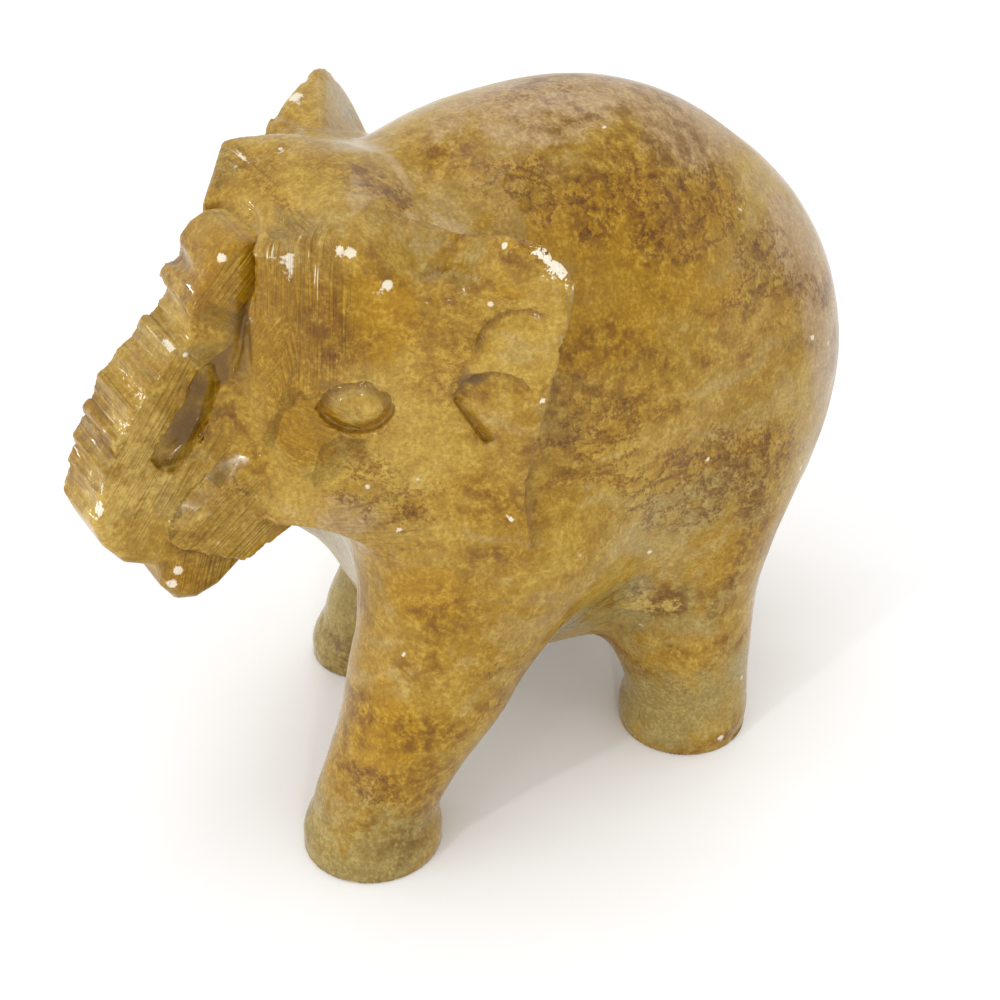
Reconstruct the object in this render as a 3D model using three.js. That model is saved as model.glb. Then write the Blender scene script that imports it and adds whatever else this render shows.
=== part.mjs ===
// Elephant figurine carved from one piece of golden-brown stone, its trunk raised to the forehead.
// It faces -Y and stands on four flat soles at Z = 0. Its own left side is +X.
import * as THREE from 'three';

// Overall size in mm
const HEIGHT = 72; // from the soles to the top of the back
const WIDTH = 45.6; // across the ears
const LENGTH = 86; // from the trunk to the rump

// The same three sizes in carving units, which every shape below is given in
const BACK_TOP = 97.4;
const EAR_SPAN = 61.69;
const TRUNK_TO_RUMP = 116.34;
const MIDDLE = 3.55; // how far behind the carving's own zero the middle of its length lies

// Body: three egg shapes joined softly, with the chest trimmed under the jaw
const BARREL = { at: [0, 14.2, 54.1], radii: [27.9, 42.7, 43.3], pitch: -4.2 };
const RUMP = { at: [0, 37.7, 50.4], radii: [24.2, 24, 31.5], pitch: -3 };
const NECK = { at: [0, 2.8, 69], radii: [21.4, 25.7, 26.9], pitch: 0 };
const CHEST = { facing: [0, -1, -0.3], through: [0, -19.2, 41.8], soft: 6 };
const SHOULDER = [[14.3, -12, 50, 9.3], [16.5, -11.5, 38, 9.5]]; // from under the cheek to the leg

// Legs: a sole, a foot height, then the ankle's radius and a knee and a hip as x, y, z and radius
const LEGS = [
  { sole: [20.1, -24.4], radii: [9.5, 9.8], top: 7, round: 5, ankle: 8.2, knee: [18.8, -13.9, 24.6, 10.2], hip: [17, 0, 42.4, 13] },
  { sole: [-17.8, -3.2], radii: [8.8, 10.2], top: 7, round: 5, ankle: 7.9, knee: [-17, 4.8, 21, 8.8], hip: [-13.5, 9.5, 42, 11] },
  { sole: [20.8, 27.9], radii: [9.5, 9.3], top: 6, round: 3.5, ankle: 9, knee: [19.6, 28, 17, 9.1], hip: [14.6, 31.6, 39.6, 14] },
  { sole: [-18.8, 34], radii: [9.2, 9.4], top: 6, round: 3.5, ankle: 8.7, knee: [-18, 33, 18, 8.8], hip: [-14, 31.5, 39.5, 13.8] },
];
const LEG_BLEND = 11;
const JAW_BLEND = { above: 2.5, below: 9, from: 62, to: 50 }; // the jaw melts into the neck
const FAR_EAR_BACK = 0.5; // how much further back the right ear stands

// Head: a wedge of flat cuts that widens back to the ears. The planes are given for the left side.
const CHEEK = { facing: [0.849, -0.528, 0], through: [16.6, -23.4, 70] };
const FACE = { facing: [0.626, -0.774, 0.09], through: [16.7, -22.9, 92.8] };
const UNDERSIDE = { facing: [0, -0.05, -1], through: [10, -8, 50.3] };
const EAR_REAR = { facing: [0.1, 0.98, -0.19], through: [30, 0.9, 87] };
const FOREHEAD = { facing: [0, -0.49, 0.87], through: [16, -22.8, 94.8] };
const CROWN = { facing: [0.03, 0, 1], through: [10, -20, 96] };
const NAPE = { facing: [0.22, 0.38, 0.9], through: [8, -13, 94.6] };
const EAR_TOP = { facing: [0, -0.22, 0.975], through: [28, -3, 94.4] };
const EAR_TOP_FRONT = { facing: [0, -0.75, 0.66], through: [27, -12.5, 92.2] };
const EAR_TOP_REAR = { facing: [0, 0.9, 0.42], through: [28, -1.2, 92.4] };
const EAR_INSIDE = { facing: [-0.42, 0.72, 0.55], through: [28.3, -3, 93.6] };
const EAR_ROOT = { facing: [-0.6, -0.8, 0], through: [16, -20, 60] };
const SKULL_TOP = [FOREHEAD, CROWN, NAPE];
const SKULL_SIDES = [CHEEK, FACE, UNDERSIDE, EAR_REAR];
const EAR_CUTS = [CHEEK, EAR_REAR, EAR_TOP, EAR_TOP_FRONT, EAR_TOP_REAR, EAR_INSIDE, UNDERSIDE, EAR_ROOT];

// Valley between the temple and the ear: x, y and z of its mouth and how soft its crest is
const VALLEY = { left: [20.9, -13.4, 86.4, 5], right: [18.2, -17.6, 89, 1.2], climb: 33, floor: 3.8 };

// Cuts on the cheek and the ear, as distance back from the cheek's front edge and height
const EYE = { at: [0.8, 69.6], long: 4.7, tall: 3.7, deep: 1.1, wide: 2.2 };
const UPPER_FOLD = { centre: [21.5, 79], radius: 5.6, from: 50, to: 190, deep: 1.2, wide: 3.2 };
const LOWER_FOLD = { centre: [18.1, 70.1], radius: 5.5, from: 25, to: 172, deep: 1.4, wide: 3.2 };
const EAR_NOTCH = { from: [12.9, 71.3], to: [17, 64.7], deep: 1.2, wide: 2.6 };

// Trunk: an upright bar curled back to the forehead. The stations are y and z on the centre plane.
const TRUNK_HALF_WIDTH = 5.3;
const TRUNK_EDGE = 1.4;
const TRUNK_TIP = [[-26.4, 91.7], [-29.4, 90.4], [-31.6, 90.6], [-33.8, 89.7], [-36, 87.4], [-37.8, 85], [-39, 82.8], [-38.8, 81.4]];
const TRUNK_RIDGES = [[-38.8, 80.8], [-41.7, 78], [-45.4, 74.5], [-48.2, 71.7], [-50.7, 67.7], [-52.6, 64], [-53.8, 60.4], [-54.8, 56.6]];
const TRUNK_BEND = [[-53.4, 52.4], [-50.8, 48.8], [-47, 46.8]];
const TRUNK_ROOT = [[-40, 46], [-30, 48], [-24, 60], [-26, 88]];
const SCALLOP_DEPTH = 0.8;
// Two notches leave lumps at the tip. They are deep on the right side and run out on the left.
const TIP_NOTCHES = [
  { from: [-8, -36.8, 86.1, 2.1], to: [2.4, -37.7, 87.2, 1.2] },
  { from: [-8, -38.8, 81.2, 1.7], to: [3.2, -39.7, 82, 1.2] },
];

// Channel cut in the face for the trunk to stand in, as y, z and radius down the centre plane
const CHANNEL = [[-35.5, 96, 8.2], [-35.5, 87, 8.2], [-38.4, 77, 7.8], [-41.5, 69, 6.3]];

// Blind slot in each side of the trunk, which leaves a thin web between the two
const SLOT = [[-36.2, 74.6], [-36.0, 71.0], [-37.8, 66], [-40.2, 62.4], [-42.5, 60.9], [-44.8, 61.4], [-45.9, 63.4], [-43.6, 66.6], [-40.6, 70.4], [-38.2, 74.0]];
const WEB_HALF = 2.6;

// Tusks, square in section, and the lower lip between and below them
const TUSK_CUTS = [
  { facing: [0.553, -0.553, 0.624], through: [5.3, -35.1, 63.2] },
  { facing: [0.99, -0.115, -0.05], through: [9.5, -33.5, 60.9] },
  { facing: [0.68, -0.73, 0], through: [5.3, -45.6, 53.9] },
  { facing: [0, -0.48, -0.88], through: [7.5, -42.8, 49.2] },
  { facing: [0, 0.55, -0.83], through: [0, -35.6, 45] },
  { facing: [0, 1, 0], through: [0, -26, 50] },
];
const LIP = [[-45.8, 45.5], [-46, 42.6], [-44.3, 40], [-41.5, 39.2], [-38, 40.2], [-34.5, 43], [-30, 46.3], [-26, 48.3], [-26, 52], [-44, 49]];
const LIP_HALF_WIDTH = 5.8;

// Surface: the spacing of the samples it is drawn through and how many triangles it keeps
const CELL = 1.0;
const TRIANGLES = 9000;
const HEAD_ROOM = { rear: 12, below: 30 }; // the head has no part behind or below these
const ROOM = new THREE.Box3(new THREE.Vector3(-34.5, -57.5, -2.5), new THREE.Vector3(34.5, 66.5, 100.5));

// Blends two distances so that the join is rounded over a width of k.
function join(a, b, k) {
  const h = Math.max(k - Math.abs(a - b), 0) / k;
  return Math.min(a, b) - (h * h * h * k) / 6;
}

// Keeps what two shapes share, with the new edge rounded over a width of k.
function overlap(a, b, k) {
  return -join(-a, -b, k);
}

// Distance from an egg shape whose long axis is tipped by its pitch.
function eggOf({ at, radii, pitch }) {
  const turn = THREE.MathUtils.degToRad(pitch);
  const c = Math.cos(turn);
  const s = Math.sin(turn);
  const [a, b, e] = radii;
  return (x, y, z) => {
    const u = x - at[0];
    const v = c * (y - at[1]) + s * (z - at[2]);
    const w = c * (z - at[2]) - s * (y - at[1]);
    const near = Math.hypot(u / a, v / b, w / e);
    const far = Math.hypot(u / (a * a), v / (b * b), w / (e * e));
    return (near * (near - 1)) / Math.max(far, 1e-9);
  };
}

// Distance in front of a plane.
function planeOf({ facing, through }) {
  const n = new THREE.Vector3(...facing).normalize();
  const level = n.dot(new THREE.Vector3(...through));
  return (x, y, z) => n.x * x + n.y * y + n.z * z - level;
}

// Distance from the solid that a set of flat cuts leaves.
function cutBlock(cuts, edge) {
  const planes = cuts.map(planeOf);
  return (x, y, z) => planes.reduce((d, plane) => overlap(d, plane(x, y, z), edge), -1e3);
}

// Distance from a round limb that tapers from one ball to the next.
function limbOf(balls, blend) {
  const spans = balls.slice(1).map((end, i) => {
    const [ax, ay, az, ar] = balls[i];
    const [bx, by, bz, br] = [end[0] - ax, end[1] - ay, end[2] - az, end[3] - ar];
    const long = bx * bx + by * by + bz * bz;
    return (x, y, z) => {
      const [u, v, w] = [x - ax, y - ay, z - az];
      const t = THREE.MathUtils.clamp((u * bx + v * by + w * bz) / long, 0, 1);
      return Math.hypot(u - t * bx, v - t * by, w - t * bz) - ar - t * br;
    };
  });
  return (x, y, z) => spans.reduce((d, span) => join(d, span(x, y, z), blend), 1e3);
}

// Signed distance in a plane from a closed outline.
function outlineOf(points) {
  return (u, v) => {
    let best = Infinity;
    let side = 1;
    for (let i = 0, j = points.length - 1; i < points.length; j = i, i += 1) {
      const [au, av] = points[i];
      const [bu, bv] = points[j];
      const [eu, ev, wu, wv] = [bu - au, bv - av, u - au, v - av];
      const t = THREE.MathUtils.clamp((wu * eu + wv * ev) / (eu * eu + ev * ev), 0, 1);
      best = Math.min(best, (wu - t * eu) ** 2 + (wv - t * ev) ** 2);
      const above = v >= av;
      const below = v < bv;
      const left = eu * wv > ev * wu;
      if (above === below && below === left) side = -side;
    }
    return side * Math.sqrt(best);
  };
}

// A distance with rounded edges from how far a point lies outside two sides at right angles.
function roundedCorner(across, along, r) {
  const [a, b] = [across + r, along + r];
  return Math.min(Math.max(a, b), 0) + Math.hypot(Math.max(a, 0), Math.max(b, 0)) - r;
}

// Distance from a side view outline given a width.
function slabOf(outline, middle, halfWidth, r) {
  const section = outlineOf(outline);
  const [us, vs] = [outline.map((p) => p[0]), outline.map((p) => p[1])];
  const box = [Math.min(...us), Math.max(...us), Math.min(...vs), Math.max(...vs)];
  return (x, y, z) => {
    const away = Math.max(box[0] - y, y - box[1], box[2] - z, z - box[3], Math.abs(x - middle) - halfWidth);
    return away > 6 ? away : roundedCorner(section(y, z), Math.abs(x - middle) - halfWidth, r);
  };
}

// A cut with a steep wall where `edge` is zero and a floor that rises to the surface over its width.
function chiselCut(edge, outside, deep, wide) {
  const floor = -(outside + deep * (1 + edge / wide)) / Math.hypot(1, deep / wide);
  return Math.max(edge, floor);
}

const barrel = eggOf(BARREL);
const rump = eggOf(RUMP);
const neck = eggOf(NECK);
const chest = planeOf(CHEST);
const shoulder = limbOf(SHOULDER, 1);
const skullTop = cutBlock(SKULL_TOP, 3.6);
const skullSides = cutBlock(SKULL_SIDES, 1.4);
const ear = cutBlock(EAR_CUTS, 1.6);
const tusk = cutBlock(TUSK_CUTS, 0.9);
const lip = slabOf(LIP, 0, LIP_HALF_WIDTH, 2.4);
const slot = slabOf(SLOT, WEB_HALF + 3.6, 3.6, 1.2);
const channel = limbOf(CHANNEL.map(([y, z, r]) => [0, y, z, r]), 2);
const cheek = planeOf(CHEEK);
const bar = slabOf([...TRUNK_TIP, ...TRUNK_RIDGES, ...TRUNK_BEND, ...TRUNK_ROOT], 0, TRUNK_HALF_WIDTH, TRUNK_EDGE);

// One leg: a foot with a rounded rim and a tapering limb above it
const legs = LEGS.map(({ sole, radii, top, round, ankle, knee, hip }) => {
  const limb = limbOf([[sole[0], sole[1] + 0.5, 7.5, ankle], knee, hip], 6);
  return (x, y, z) => {
    const rim = Math.hypot(x - sole[0], ((y - sole[1]) * radii[0]) / radii[1]) - radii[0];
    const foot = roundedCorner(rim, Math.abs(z - (top - 6) / 2) - (top + 6) / 2, round);
    return join(foot, limb(x, y, z), 4);
  };
});

// The scallop between two ridges is the side of a round bar laid across the trunk.
const scallops = TRUNK_RIDGES.slice(1).map(([y1, z1], i) => {
  const [y0, z0] = TRUNK_RIDGES[i];
  const half = Math.hypot(y1 - y0, z1 - z0) / 2;
  const radius = (half * half + SCALLOP_DEPTH ** 2) / (2 * SCALLOP_DEPTH);
  const out = (radius - SCALLOP_DEPTH) / (2 * half);
  return { y: (y0 + y1) / 2 + (z1 - z0) * out, z: (z0 + z1) / 2 - (y1 - y0) * out, radius };
});

const notches = TIP_NOTCHES.map(({ from, to }) => limbOf([from, to], 1));

function trunk(x, y, z) {
  let d = bar(x, y, z);
  if (d > 6) return d;
  for (const s of scallops) d = Math.max(d, s.radius - Math.hypot(y - s.y, z - s.z));
  return notches.reduce((left, notch) => overlap(left, -notch(x, y, z), 0.5), d);
}

// Directions on the cheek and in the valley
const backward = new THREE.Vector3(-CHEEK.facing[1], CHEEK.facing[0], 0).normalize();
const climb = THREE.MathUtils.degToRad(VALLEY.climb);
const upValley = new THREE.Vector3(
  backward.y * Math.sin(climb),
  -backward.x * Math.sin(climb),
  Math.cos(climb),
);

function valley(x, y, z, right) {
  const [cx, cy, cz] = right ? VALLEY.right : VALLEY.left;
  const along = (x - cx) * backward.x + (y - cy) * backward.y;
  const up = (x - cx) * upValley.x + (y - cy) * upValley.y + (z - cz) * upValley.z;
  return 0.72 * (Math.hypot(along, VALLEY.floor) - VALLEY.floor) - 0.7 * up;
}

// Fades a cut out towards the ends of its arc.
function fade(angle, from, to) {
  const t = Math.min(angle - from, to - angle) / 25;
  return THREE.MathUtils.clamp(t, 0, 1);
}

function cheekCuts(x, y, z) {
  const outside = cheek(x, y, z);
  if (Math.abs(outside) > 4 || z < 58 || z > 90) return 4;
  const back = (x - CHEEK.through[0]) * backward.x + (y - CHEEK.through[1]) * backward.y;
  const [u, v] = [back - EYE.at[0], z - EYE.at[1]];
  const lens = (EYE.long ** 2 - EYE.tall ** 2) / (2 * EYE.tall);
  let d = chiselCut(Math.hypot(u, Math.abs(v) + lens) - EYE.tall - lens, outside, EYE.deep, EYE.wide);
  for (const { centre, radius, from, to, deep, wide } of [UPPER_FOLD, LOWER_FOLD]) {
    const [s, t] = [back - centre[0], z - centre[1]];
    const angle = THREE.MathUtils.radToDeg(Math.atan2(t, s));
    const share = fade(angle < -90 ? angle + 360 : angle, from, to);
    if (share > 0) d = Math.min(d, chiselCut(Math.hypot(s, t) - radius, outside, deep * share, wide));
  }
  const [ax, ay, bx, by] = [...EAR_NOTCH.from, ...EAR_NOTCH.to];
  const long = Math.hypot(bx - ax, by - ay);
  const run = ((back - ax) * (bx - ax) + (z - ay) * (by - ay)) / long;
  const off = ((back - ax) * (by - ay) - (z - ay) * (bx - ax)) / long;
  const ends = Math.max(-run, run - long);
  d = Math.min(d, Math.max(ends, chiselCut(off, outside, EAR_NOTCH.deep, EAR_NOTCH.wide)));
  return d;
}

// The two sides of the head mirror each other but for the valley and the notches.
function head(x, y, z) {
  const side = Math.abs(x);
  const aboveValley = -valley(side, y, z, x < 0);
  const crest = (x < 0 ? VALLEY.right : VALLEY.left)[3];
  const top = overlap(skullTop(side, y, z), aboveValley, crest);
  const lobe = overlap(ear(side, x < 0 ? y - FAR_EAR_BACK : y, z), aboveValley, 1.2);
  let d = join(overlap(top, skullSides(side, y, z), 1.4), lobe, 0.6);
  d = overlap(d, -cheekCuts(side, y, z), 0.5);
  d = overlap(d, -channel(side, y, z), 1);
  const hollow = slot(side, y, z);
  d = overlap(d, -hollow, 0.8);
  d = join(d, overlap(trunk(x, y, z), -hollow, 0.8), 0.5);
  return join(d, join(tusk(side, y, z), lip(side, y, z), 0.8), 0.8);
}

// Width of the join between head and body at a height
function jawBlend(z) {
  const share = 1 - THREE.MathUtils.smoothstep(z, JAW_BLEND.to, JAW_BLEND.from);
  return THREE.MathUtils.lerp(JAW_BLEND.above, JAW_BLEND.below, share);
}

// Distance from the whole carving, negative inside the stone.
function elephant(x, y, z) {
  const side = Math.abs(x);
  const front = chest(side, y, z);
  const trimmed = overlap(barrel(x, y, z), front, CHEST.soft);
  const nape = overlap(neck(x, y, z), front, CHEST.soft);
  let d = join(join(trimmed, rump(x, y, z), 8), nape, 6);
  d = join(d, shoulder(side, y, z), 7);
  d = join(d, Math.min(...legs.map((leg) => leg(x, y, z))), LEG_BLEND);
  if (y < HEAD_ROOM.rear && z > HEAD_ROOM.below) d = join(d, head(x, y, z), jawBlend(z));
  return overlap(d, -z, 0.6);
}

// Four samples round a square whose signs cross over would pinch the surface: the weakest of them
// changes its sign.
function settle(values, [nx, ny, nz]) {
  const stride = [ny * nz, nz, 1];
  const squares = [[0, 1], [1, 2], [0, 2]];
  let changed = true;
  for (let pass = 0; changed && pass < 12; pass += 1) {
    changed = false;
    for (let n = 0; n + stride[0] + stride[1] < values.length; n += 1) {
      for (const [a, b] of squares) {
        const ring = [n, n + stride[a], n + stride[a] + stride[b], n + stride[b]];
        const signs = ring.map((i) => values[i] < 0);
        if (signs[0] !== signs[2] || signs[1] !== signs[3] || signs[0] === signs[1]) continue;
        const weakest = ring.reduce((i, j) => (Math.abs(values[j]) < Math.abs(values[i]) ? j : i));
        values[weakest] = values[weakest] < 0 ? 0.02 : -0.02;
        changed = true;
      }
    }
  }
}

// Draws the surface where a distance is zero: one point in each cell that it crosses.
function surfaceOf(distance, room, cell) {
  const size = room.getSize(new THREE.Vector3()).divideScalar(cell).round().addScalar(1);
  const [nx, ny, nz] = size.toArray();
  const values = new Float64Array(nx * ny * nz);
  const index = (i, j, k) => (i * ny + j) * nz + k;
  for (let i = 0; i < nx; i += 1) {
    for (let j = 0; j < ny; j += 1) {
      for (let k = 0; k < nz; k += 1) {
        values[index(i, j, k)] = distance(room.min.x + i * cell, room.min.y + j * cell, room.min.z + k * cell);
      }
    }
  }
  settle(values, [nx, ny, nz]);
  const points = [];
  const pointOf = new Map();
  const corners = [0, 1, 2, 3, 4, 5, 6, 7].map((n) => [n >> 2, (n >> 1) & 1, n & 1]);
  const edges = [];
  corners.forEach((a) => [0, 1, 2].forEach((axis) => {
    if (a[axis] === 0) edges.push([a, a.map((v, n) => (n === axis ? 1 : v)), axis]);
  }));
  for (let i = 0; i < nx - 1; i += 1) {
    for (let j = 0; j < ny - 1; j += 1) {
      for (let k = 0; k < nz - 1; k += 1) {
        const sum = new THREE.Vector3();
        let crossings = 0;
        for (const [a, b, axis] of edges) {
          const va = values[index(i + a[0], j + a[1], k + a[2])];
          const vb = values[index(i + b[0], j + b[1], k + b[2])];
          if (va < 0 === vb < 0) continue;
          const at = new THREE.Vector3(...a);
          at.setComponent(axis, va / (va - vb));
          sum.add(at);
          crossings += 1;
        }
        if (!crossings) continue;
        sum.divideScalar(crossings).add(new THREE.Vector3(i, j, k)).multiplyScalar(cell).add(room.min);
        if (Math.abs(sum.z) < 0.4 * cell) sum.z = 0;
        pointOf.set(index(i, j, k), points.length);
        points.push(sum);
      }
    }
  }
  const triangles = [];
  const steps = [[1, 0, 0], [0, 1, 0], [0, 0, 1]];
  for (let i = 1; i < nx - 1; i += 1) {
    for (let j = 1; j < ny - 1; j += 1) {
      for (let k = 1; k < nz - 1; k += 1) {
        steps.forEach((step, axis) => {
          const inside = values[index(i, j, k)] < 0;
          if (inside === values[index(i + step[0], j + step[1], k + step[2])] < 0) return;
          const [u, v] = [steps[(axis + 1) % 3], steps[(axis + 2) % 3]];
          const cellAt = (a, b) => pointOf.get(index(i - a * u[0] - b * v[0], j - a * u[1] - b * v[1], k - a * u[2] - b * v[2]));
          const ring = [cellAt(1, 1), cellAt(0, 1), cellAt(0, 0), cellAt(1, 0)];
          if (!inside) ring.reverse();
          const [a, b, c, d] = ring;
          const split = points[a].distanceToSquared(points[c]) <= points[b].distanceToSquared(points[d]);
          triangles.push(...(split ? [[a, b, c], [a, c, d]] : [[b, c, d], [b, d, a]]));
        });
      }
    }
  }
  return { points, triangles };
}

// Merges the edges that matter least to the shape until the surface has few enough triangles.
class Simplifier {
  constructor({ points, triangles }) {
    this.points = points;
    this.faces = triangles.map((t) => t.slice());
    this.around = points.map(() => new Set());
    this.faces.forEach((face, f) => face.forEach((p) => this.around[p].add(f)));
    this.errors = points.map(() => new Float64Array(10));
    this.stamps = new Uint32Array(points.length);
    this.heap = [];
    this.faces.forEach((face) => this.addError(face));
  }

  normalOf([a, b, c], p = this.points) {
    const n = new THREE.Vector3().subVectors(p[b], p[a]);
    return n.cross(new THREE.Vector3().subVectors(p[c], p[a]));
  }

  addError(face) {
    const n = this.normalOf(face);
    const area = n.length();
    if (area < 1e-12) return;
    n.divideScalar(area);
    const d = -n.dot(this.points[face[0]]);
    const terms = [n.x * n.x, n.x * n.y, n.x * n.z, n.x * d, n.y * n.y, n.y * n.z, n.y * d, n.z * n.z, n.z * d, d * d];
    face.forEach((p) => terms.forEach((t, i) => { this.errors[p][i] += t * area; }));
  }

  static cost(q, p) {
    return q[0] * p.x * p.x + 2 * q[1] * p.x * p.y + 2 * q[2] * p.x * p.z + 2 * q[3] * p.x + q[4] * p.y * p.y
      + 2 * q[5] * p.y * p.z + 2 * q[6] * p.y + q[7] * p.z * p.z + 2 * q[8] * p.z + q[9];
  }

  bestPoint(a, b) {
    const q = this.errors[a].map((v, i) => v + this.errors[b][i]);
    const [pa, pb] = [this.points[a], this.points[b]];
    const choices = [new THREE.Vector3().addVectors(pa, pb).multiplyScalar(0.5), pa.clone(), pb.clone()];
    const grid = new THREE.Matrix3().set(q[0], q[1], q[2], q[1], q[4], q[5], q[2], q[5], q[7]);
    const scale = (q[0] + q[4] + q[7]) / 3;
    if (Math.abs(grid.determinant()) > 1e-3 * scale ** 3) {
      const exact = new THREE.Vector3(-q[3], -q[6], -q[8]).applyMatrix3(grid.invert());
      if (exact.distanceTo(choices[0]) < 2 * pa.distanceTo(pb)) choices.unshift(exact);
    }
    choices.forEach((p) => { p.z = pa.z === 0 && pb.z === 0 ? 0 : Math.max(p.z, 0); });
    const rated = choices.map((point) => ({ point, cost: Simplifier.cost(q, point) }));
    const best = rated.reduce((x, y) => (y.cost < x.cost - 1e-9 ? y : x));
    best.cost += 1e-4 * pa.distanceToSquared(pb);
    return best;
  }

  push(a, b) {
    const item = { a, b, sa: this.stamps[a], sb: this.stamps[b], ...this.bestPoint(a, b) };
    const { heap } = this;
    let i = heap.push(item) - 1;
    while (i > 0) {
      const parent = (i - 1) >> 1;
      if (heap[parent].cost <= item.cost) break;
      heap[i] = heap[parent];
      i = parent;
    }
    heap[i] = item;
  }

  pop() {
    const { heap } = this;
    const top = heap[0];
    const last = heap.pop();
    if (!heap.length) return top;
    let i = 0;
    for (;;) {
      let child = 2 * i + 1;
      if (child >= heap.length) break;
      if (child + 1 < heap.length && heap[child + 1].cost < heap[child].cost) child += 1;
      if (heap[child].cost >= last.cost) break;
      heap[i] = heap[child];
      i = child;
    }
    heap[i] = last;
    return top;
  }

  neighbours(p) {
    const found = new Set();
    this.around[p].forEach((f) => this.faces[f].forEach((q) => found.add(q)));
    found.delete(p);
    return found;
  }

  allowed(a, b, point) {
    const nearB = this.neighbours(b);
    const shared = [...this.neighbours(a)].filter((p) => nearB.has(p));
    if (shared.length !== 2) return false;
    const moved = {};
    for (const from of [a, b]) {
      for (const f of this.around[from]) {
        const face = this.faces[f];
        if (face.includes(a) && face.includes(b)) continue;
        const before = this.normalOf(face);
        face.forEach((p) => { moved[p] = p === from ? point : this.points[p]; });
        const after = this.normalOf(face, moved);
        const longest = Math.max(...face.map((p, i) => moved[p].distanceToSquared(moved[face[(i + 1) % 3]])));
        if (after.dot(before) < 0.35 * after.length() * before.length()) return false;
        if (after.length() < 0.06 * longest) return false;
      }
    }
    return true;
  }

  merge(a, b, point) {
    this.points[a] = point;
    this.errors[b].forEach((v, i) => { this.errors[a][i] += v; });
    for (const f of [...this.around[b]]) {
      const face = this.faces[f];
      if (face.includes(a)) {
        face.forEach((p) => this.around[p].delete(f));
        this.faces[f] = null;
        this.count -= 1;
      } else {
        face[face.indexOf(b)] = a;
        this.around[a].add(f);
      }
    }
    this.around[b].clear();
    this.stamps[a] += 1;
    this.stamps[b] += 1;
    this.neighbours(a).forEach((p) => this.push(a, p));
  }

  run(target) {
    this.count = this.faces.length;
    this.faces.forEach((face) => face.forEach((p, i) => {
      const q = face[(i + 1) % 3];
      if (p < q) this.push(p, q);
    }));
    while (this.count > target && this.heap.length) {
      const { a, b, sa, sb, point } = this.pop();
      const stale = this.stamps[a] !== sa || this.stamps[b] !== sb || !this.around[b].size;
      if (!stale && this.allowed(a, b, point)) this.merge(a, b, point);
    }
    return this.faces.filter(Boolean).flatMap((face) => face.map((p) => this.points[p]));
  }
}

const stone = new THREE.MeshStandardMaterial({ name: 'golden_brown_stone', color: 0xb08a45, roughness: 0.38, metalness: 0 });
const geometry = new THREE.BufferGeometry();
geometry.setFromPoints(new Simplifier(surfaceOf(elephant, ROOM, CELL)).run(TRIANGLES));
geometry.translate(0, -MIDDLE, 0);
geometry.scale(WIDTH / EAR_SPAN, LENGTH / TRUNK_TO_RUMP, HEIGHT / BACK_TOP);
geometry.computeVertexNormals();

const figurine = new THREE.Mesh(geometry, stone);
figurine.name = 'elephant';

const part = new THREE.Group();
part.name = 'elephant_figurine';
part.add(figurine);

export default part;
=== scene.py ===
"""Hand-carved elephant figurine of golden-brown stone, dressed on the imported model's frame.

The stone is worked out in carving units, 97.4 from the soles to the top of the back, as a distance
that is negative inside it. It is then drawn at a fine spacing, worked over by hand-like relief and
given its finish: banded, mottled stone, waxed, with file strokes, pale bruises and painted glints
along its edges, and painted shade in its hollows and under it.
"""
from __future__ import annotations

import logging
import math
from dataclasses import dataclass
from enum import Enum
from typing import Any, Callable

import bpy
import numpy as np
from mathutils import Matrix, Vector

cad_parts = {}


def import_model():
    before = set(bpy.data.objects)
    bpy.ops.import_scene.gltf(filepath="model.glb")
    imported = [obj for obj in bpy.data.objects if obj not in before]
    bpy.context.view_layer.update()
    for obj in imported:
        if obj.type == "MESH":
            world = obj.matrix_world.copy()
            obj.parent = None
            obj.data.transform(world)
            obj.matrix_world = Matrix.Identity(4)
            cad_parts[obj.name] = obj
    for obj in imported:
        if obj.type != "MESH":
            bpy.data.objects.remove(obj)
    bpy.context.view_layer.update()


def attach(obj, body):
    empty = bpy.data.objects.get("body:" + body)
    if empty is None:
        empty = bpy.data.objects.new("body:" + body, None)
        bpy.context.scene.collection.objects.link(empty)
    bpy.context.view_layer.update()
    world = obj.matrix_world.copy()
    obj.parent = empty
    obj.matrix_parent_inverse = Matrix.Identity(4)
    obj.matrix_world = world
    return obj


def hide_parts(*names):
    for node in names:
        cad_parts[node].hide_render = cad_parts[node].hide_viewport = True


LOG = logging.getLogger("elephant")

Array = np.ndarray
Triple = tuple[float, float, float]
Field = Callable[[Array, Array, Array], Array]

# Real height, the same height in carving units, millimetres to a unit, and where the model's middle lies
HEIGHT_MM = 72.0
BACK_TOP = 97.4
MM = HEIGHT_MM / BACK_TOP
MIDDLE = 3.55


# Distances

def join(a: Array, b: Array, width: float | Array) -> Array:
    """Blend two distances so that the join is rounded.

    Args:
        a: Distances to the first shape.
        b: Distances to the second shape.
        width: Width over which the join is rounded.

    Returns:
        Distances to both shapes together.
    """
    h = np.maximum(width - np.abs(a - b), 0) / width
    return np.minimum(a, b) - h * h * h * width / 6


def overlap(a: Array, b: Array, width: float | Array) -> Array:
    """Keep what two shapes share, with the new edge rounded over a width."""
    return -join(-a, -b, width)


def smooth_step(low: float, high: float, value: Array) -> Array:
    """Ease a value from 0 at `low` to 1 at `high`."""
    t = np.clip((value - low) / (high - low), 0, 1)
    return t * t * (3 - 2 * t)


def rounded_corner(across: Array, along: Array, radius: float) -> Array:
    """Distance with a rounded edge from how far points lie outside two sides at right angles.

    Args:
        across: Distances outside the first side.
        along: Distances outside the second side.
        radius: Radius of the edge between them.

    Returns:
        Distances, negative inside.
    """
    a, b = across + radius, along + radius
    outside = np.hypot(np.maximum(a, 0), np.maximum(b, 0))
    return np.minimum(np.maximum(a, b), 0) + outside - radius


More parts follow.
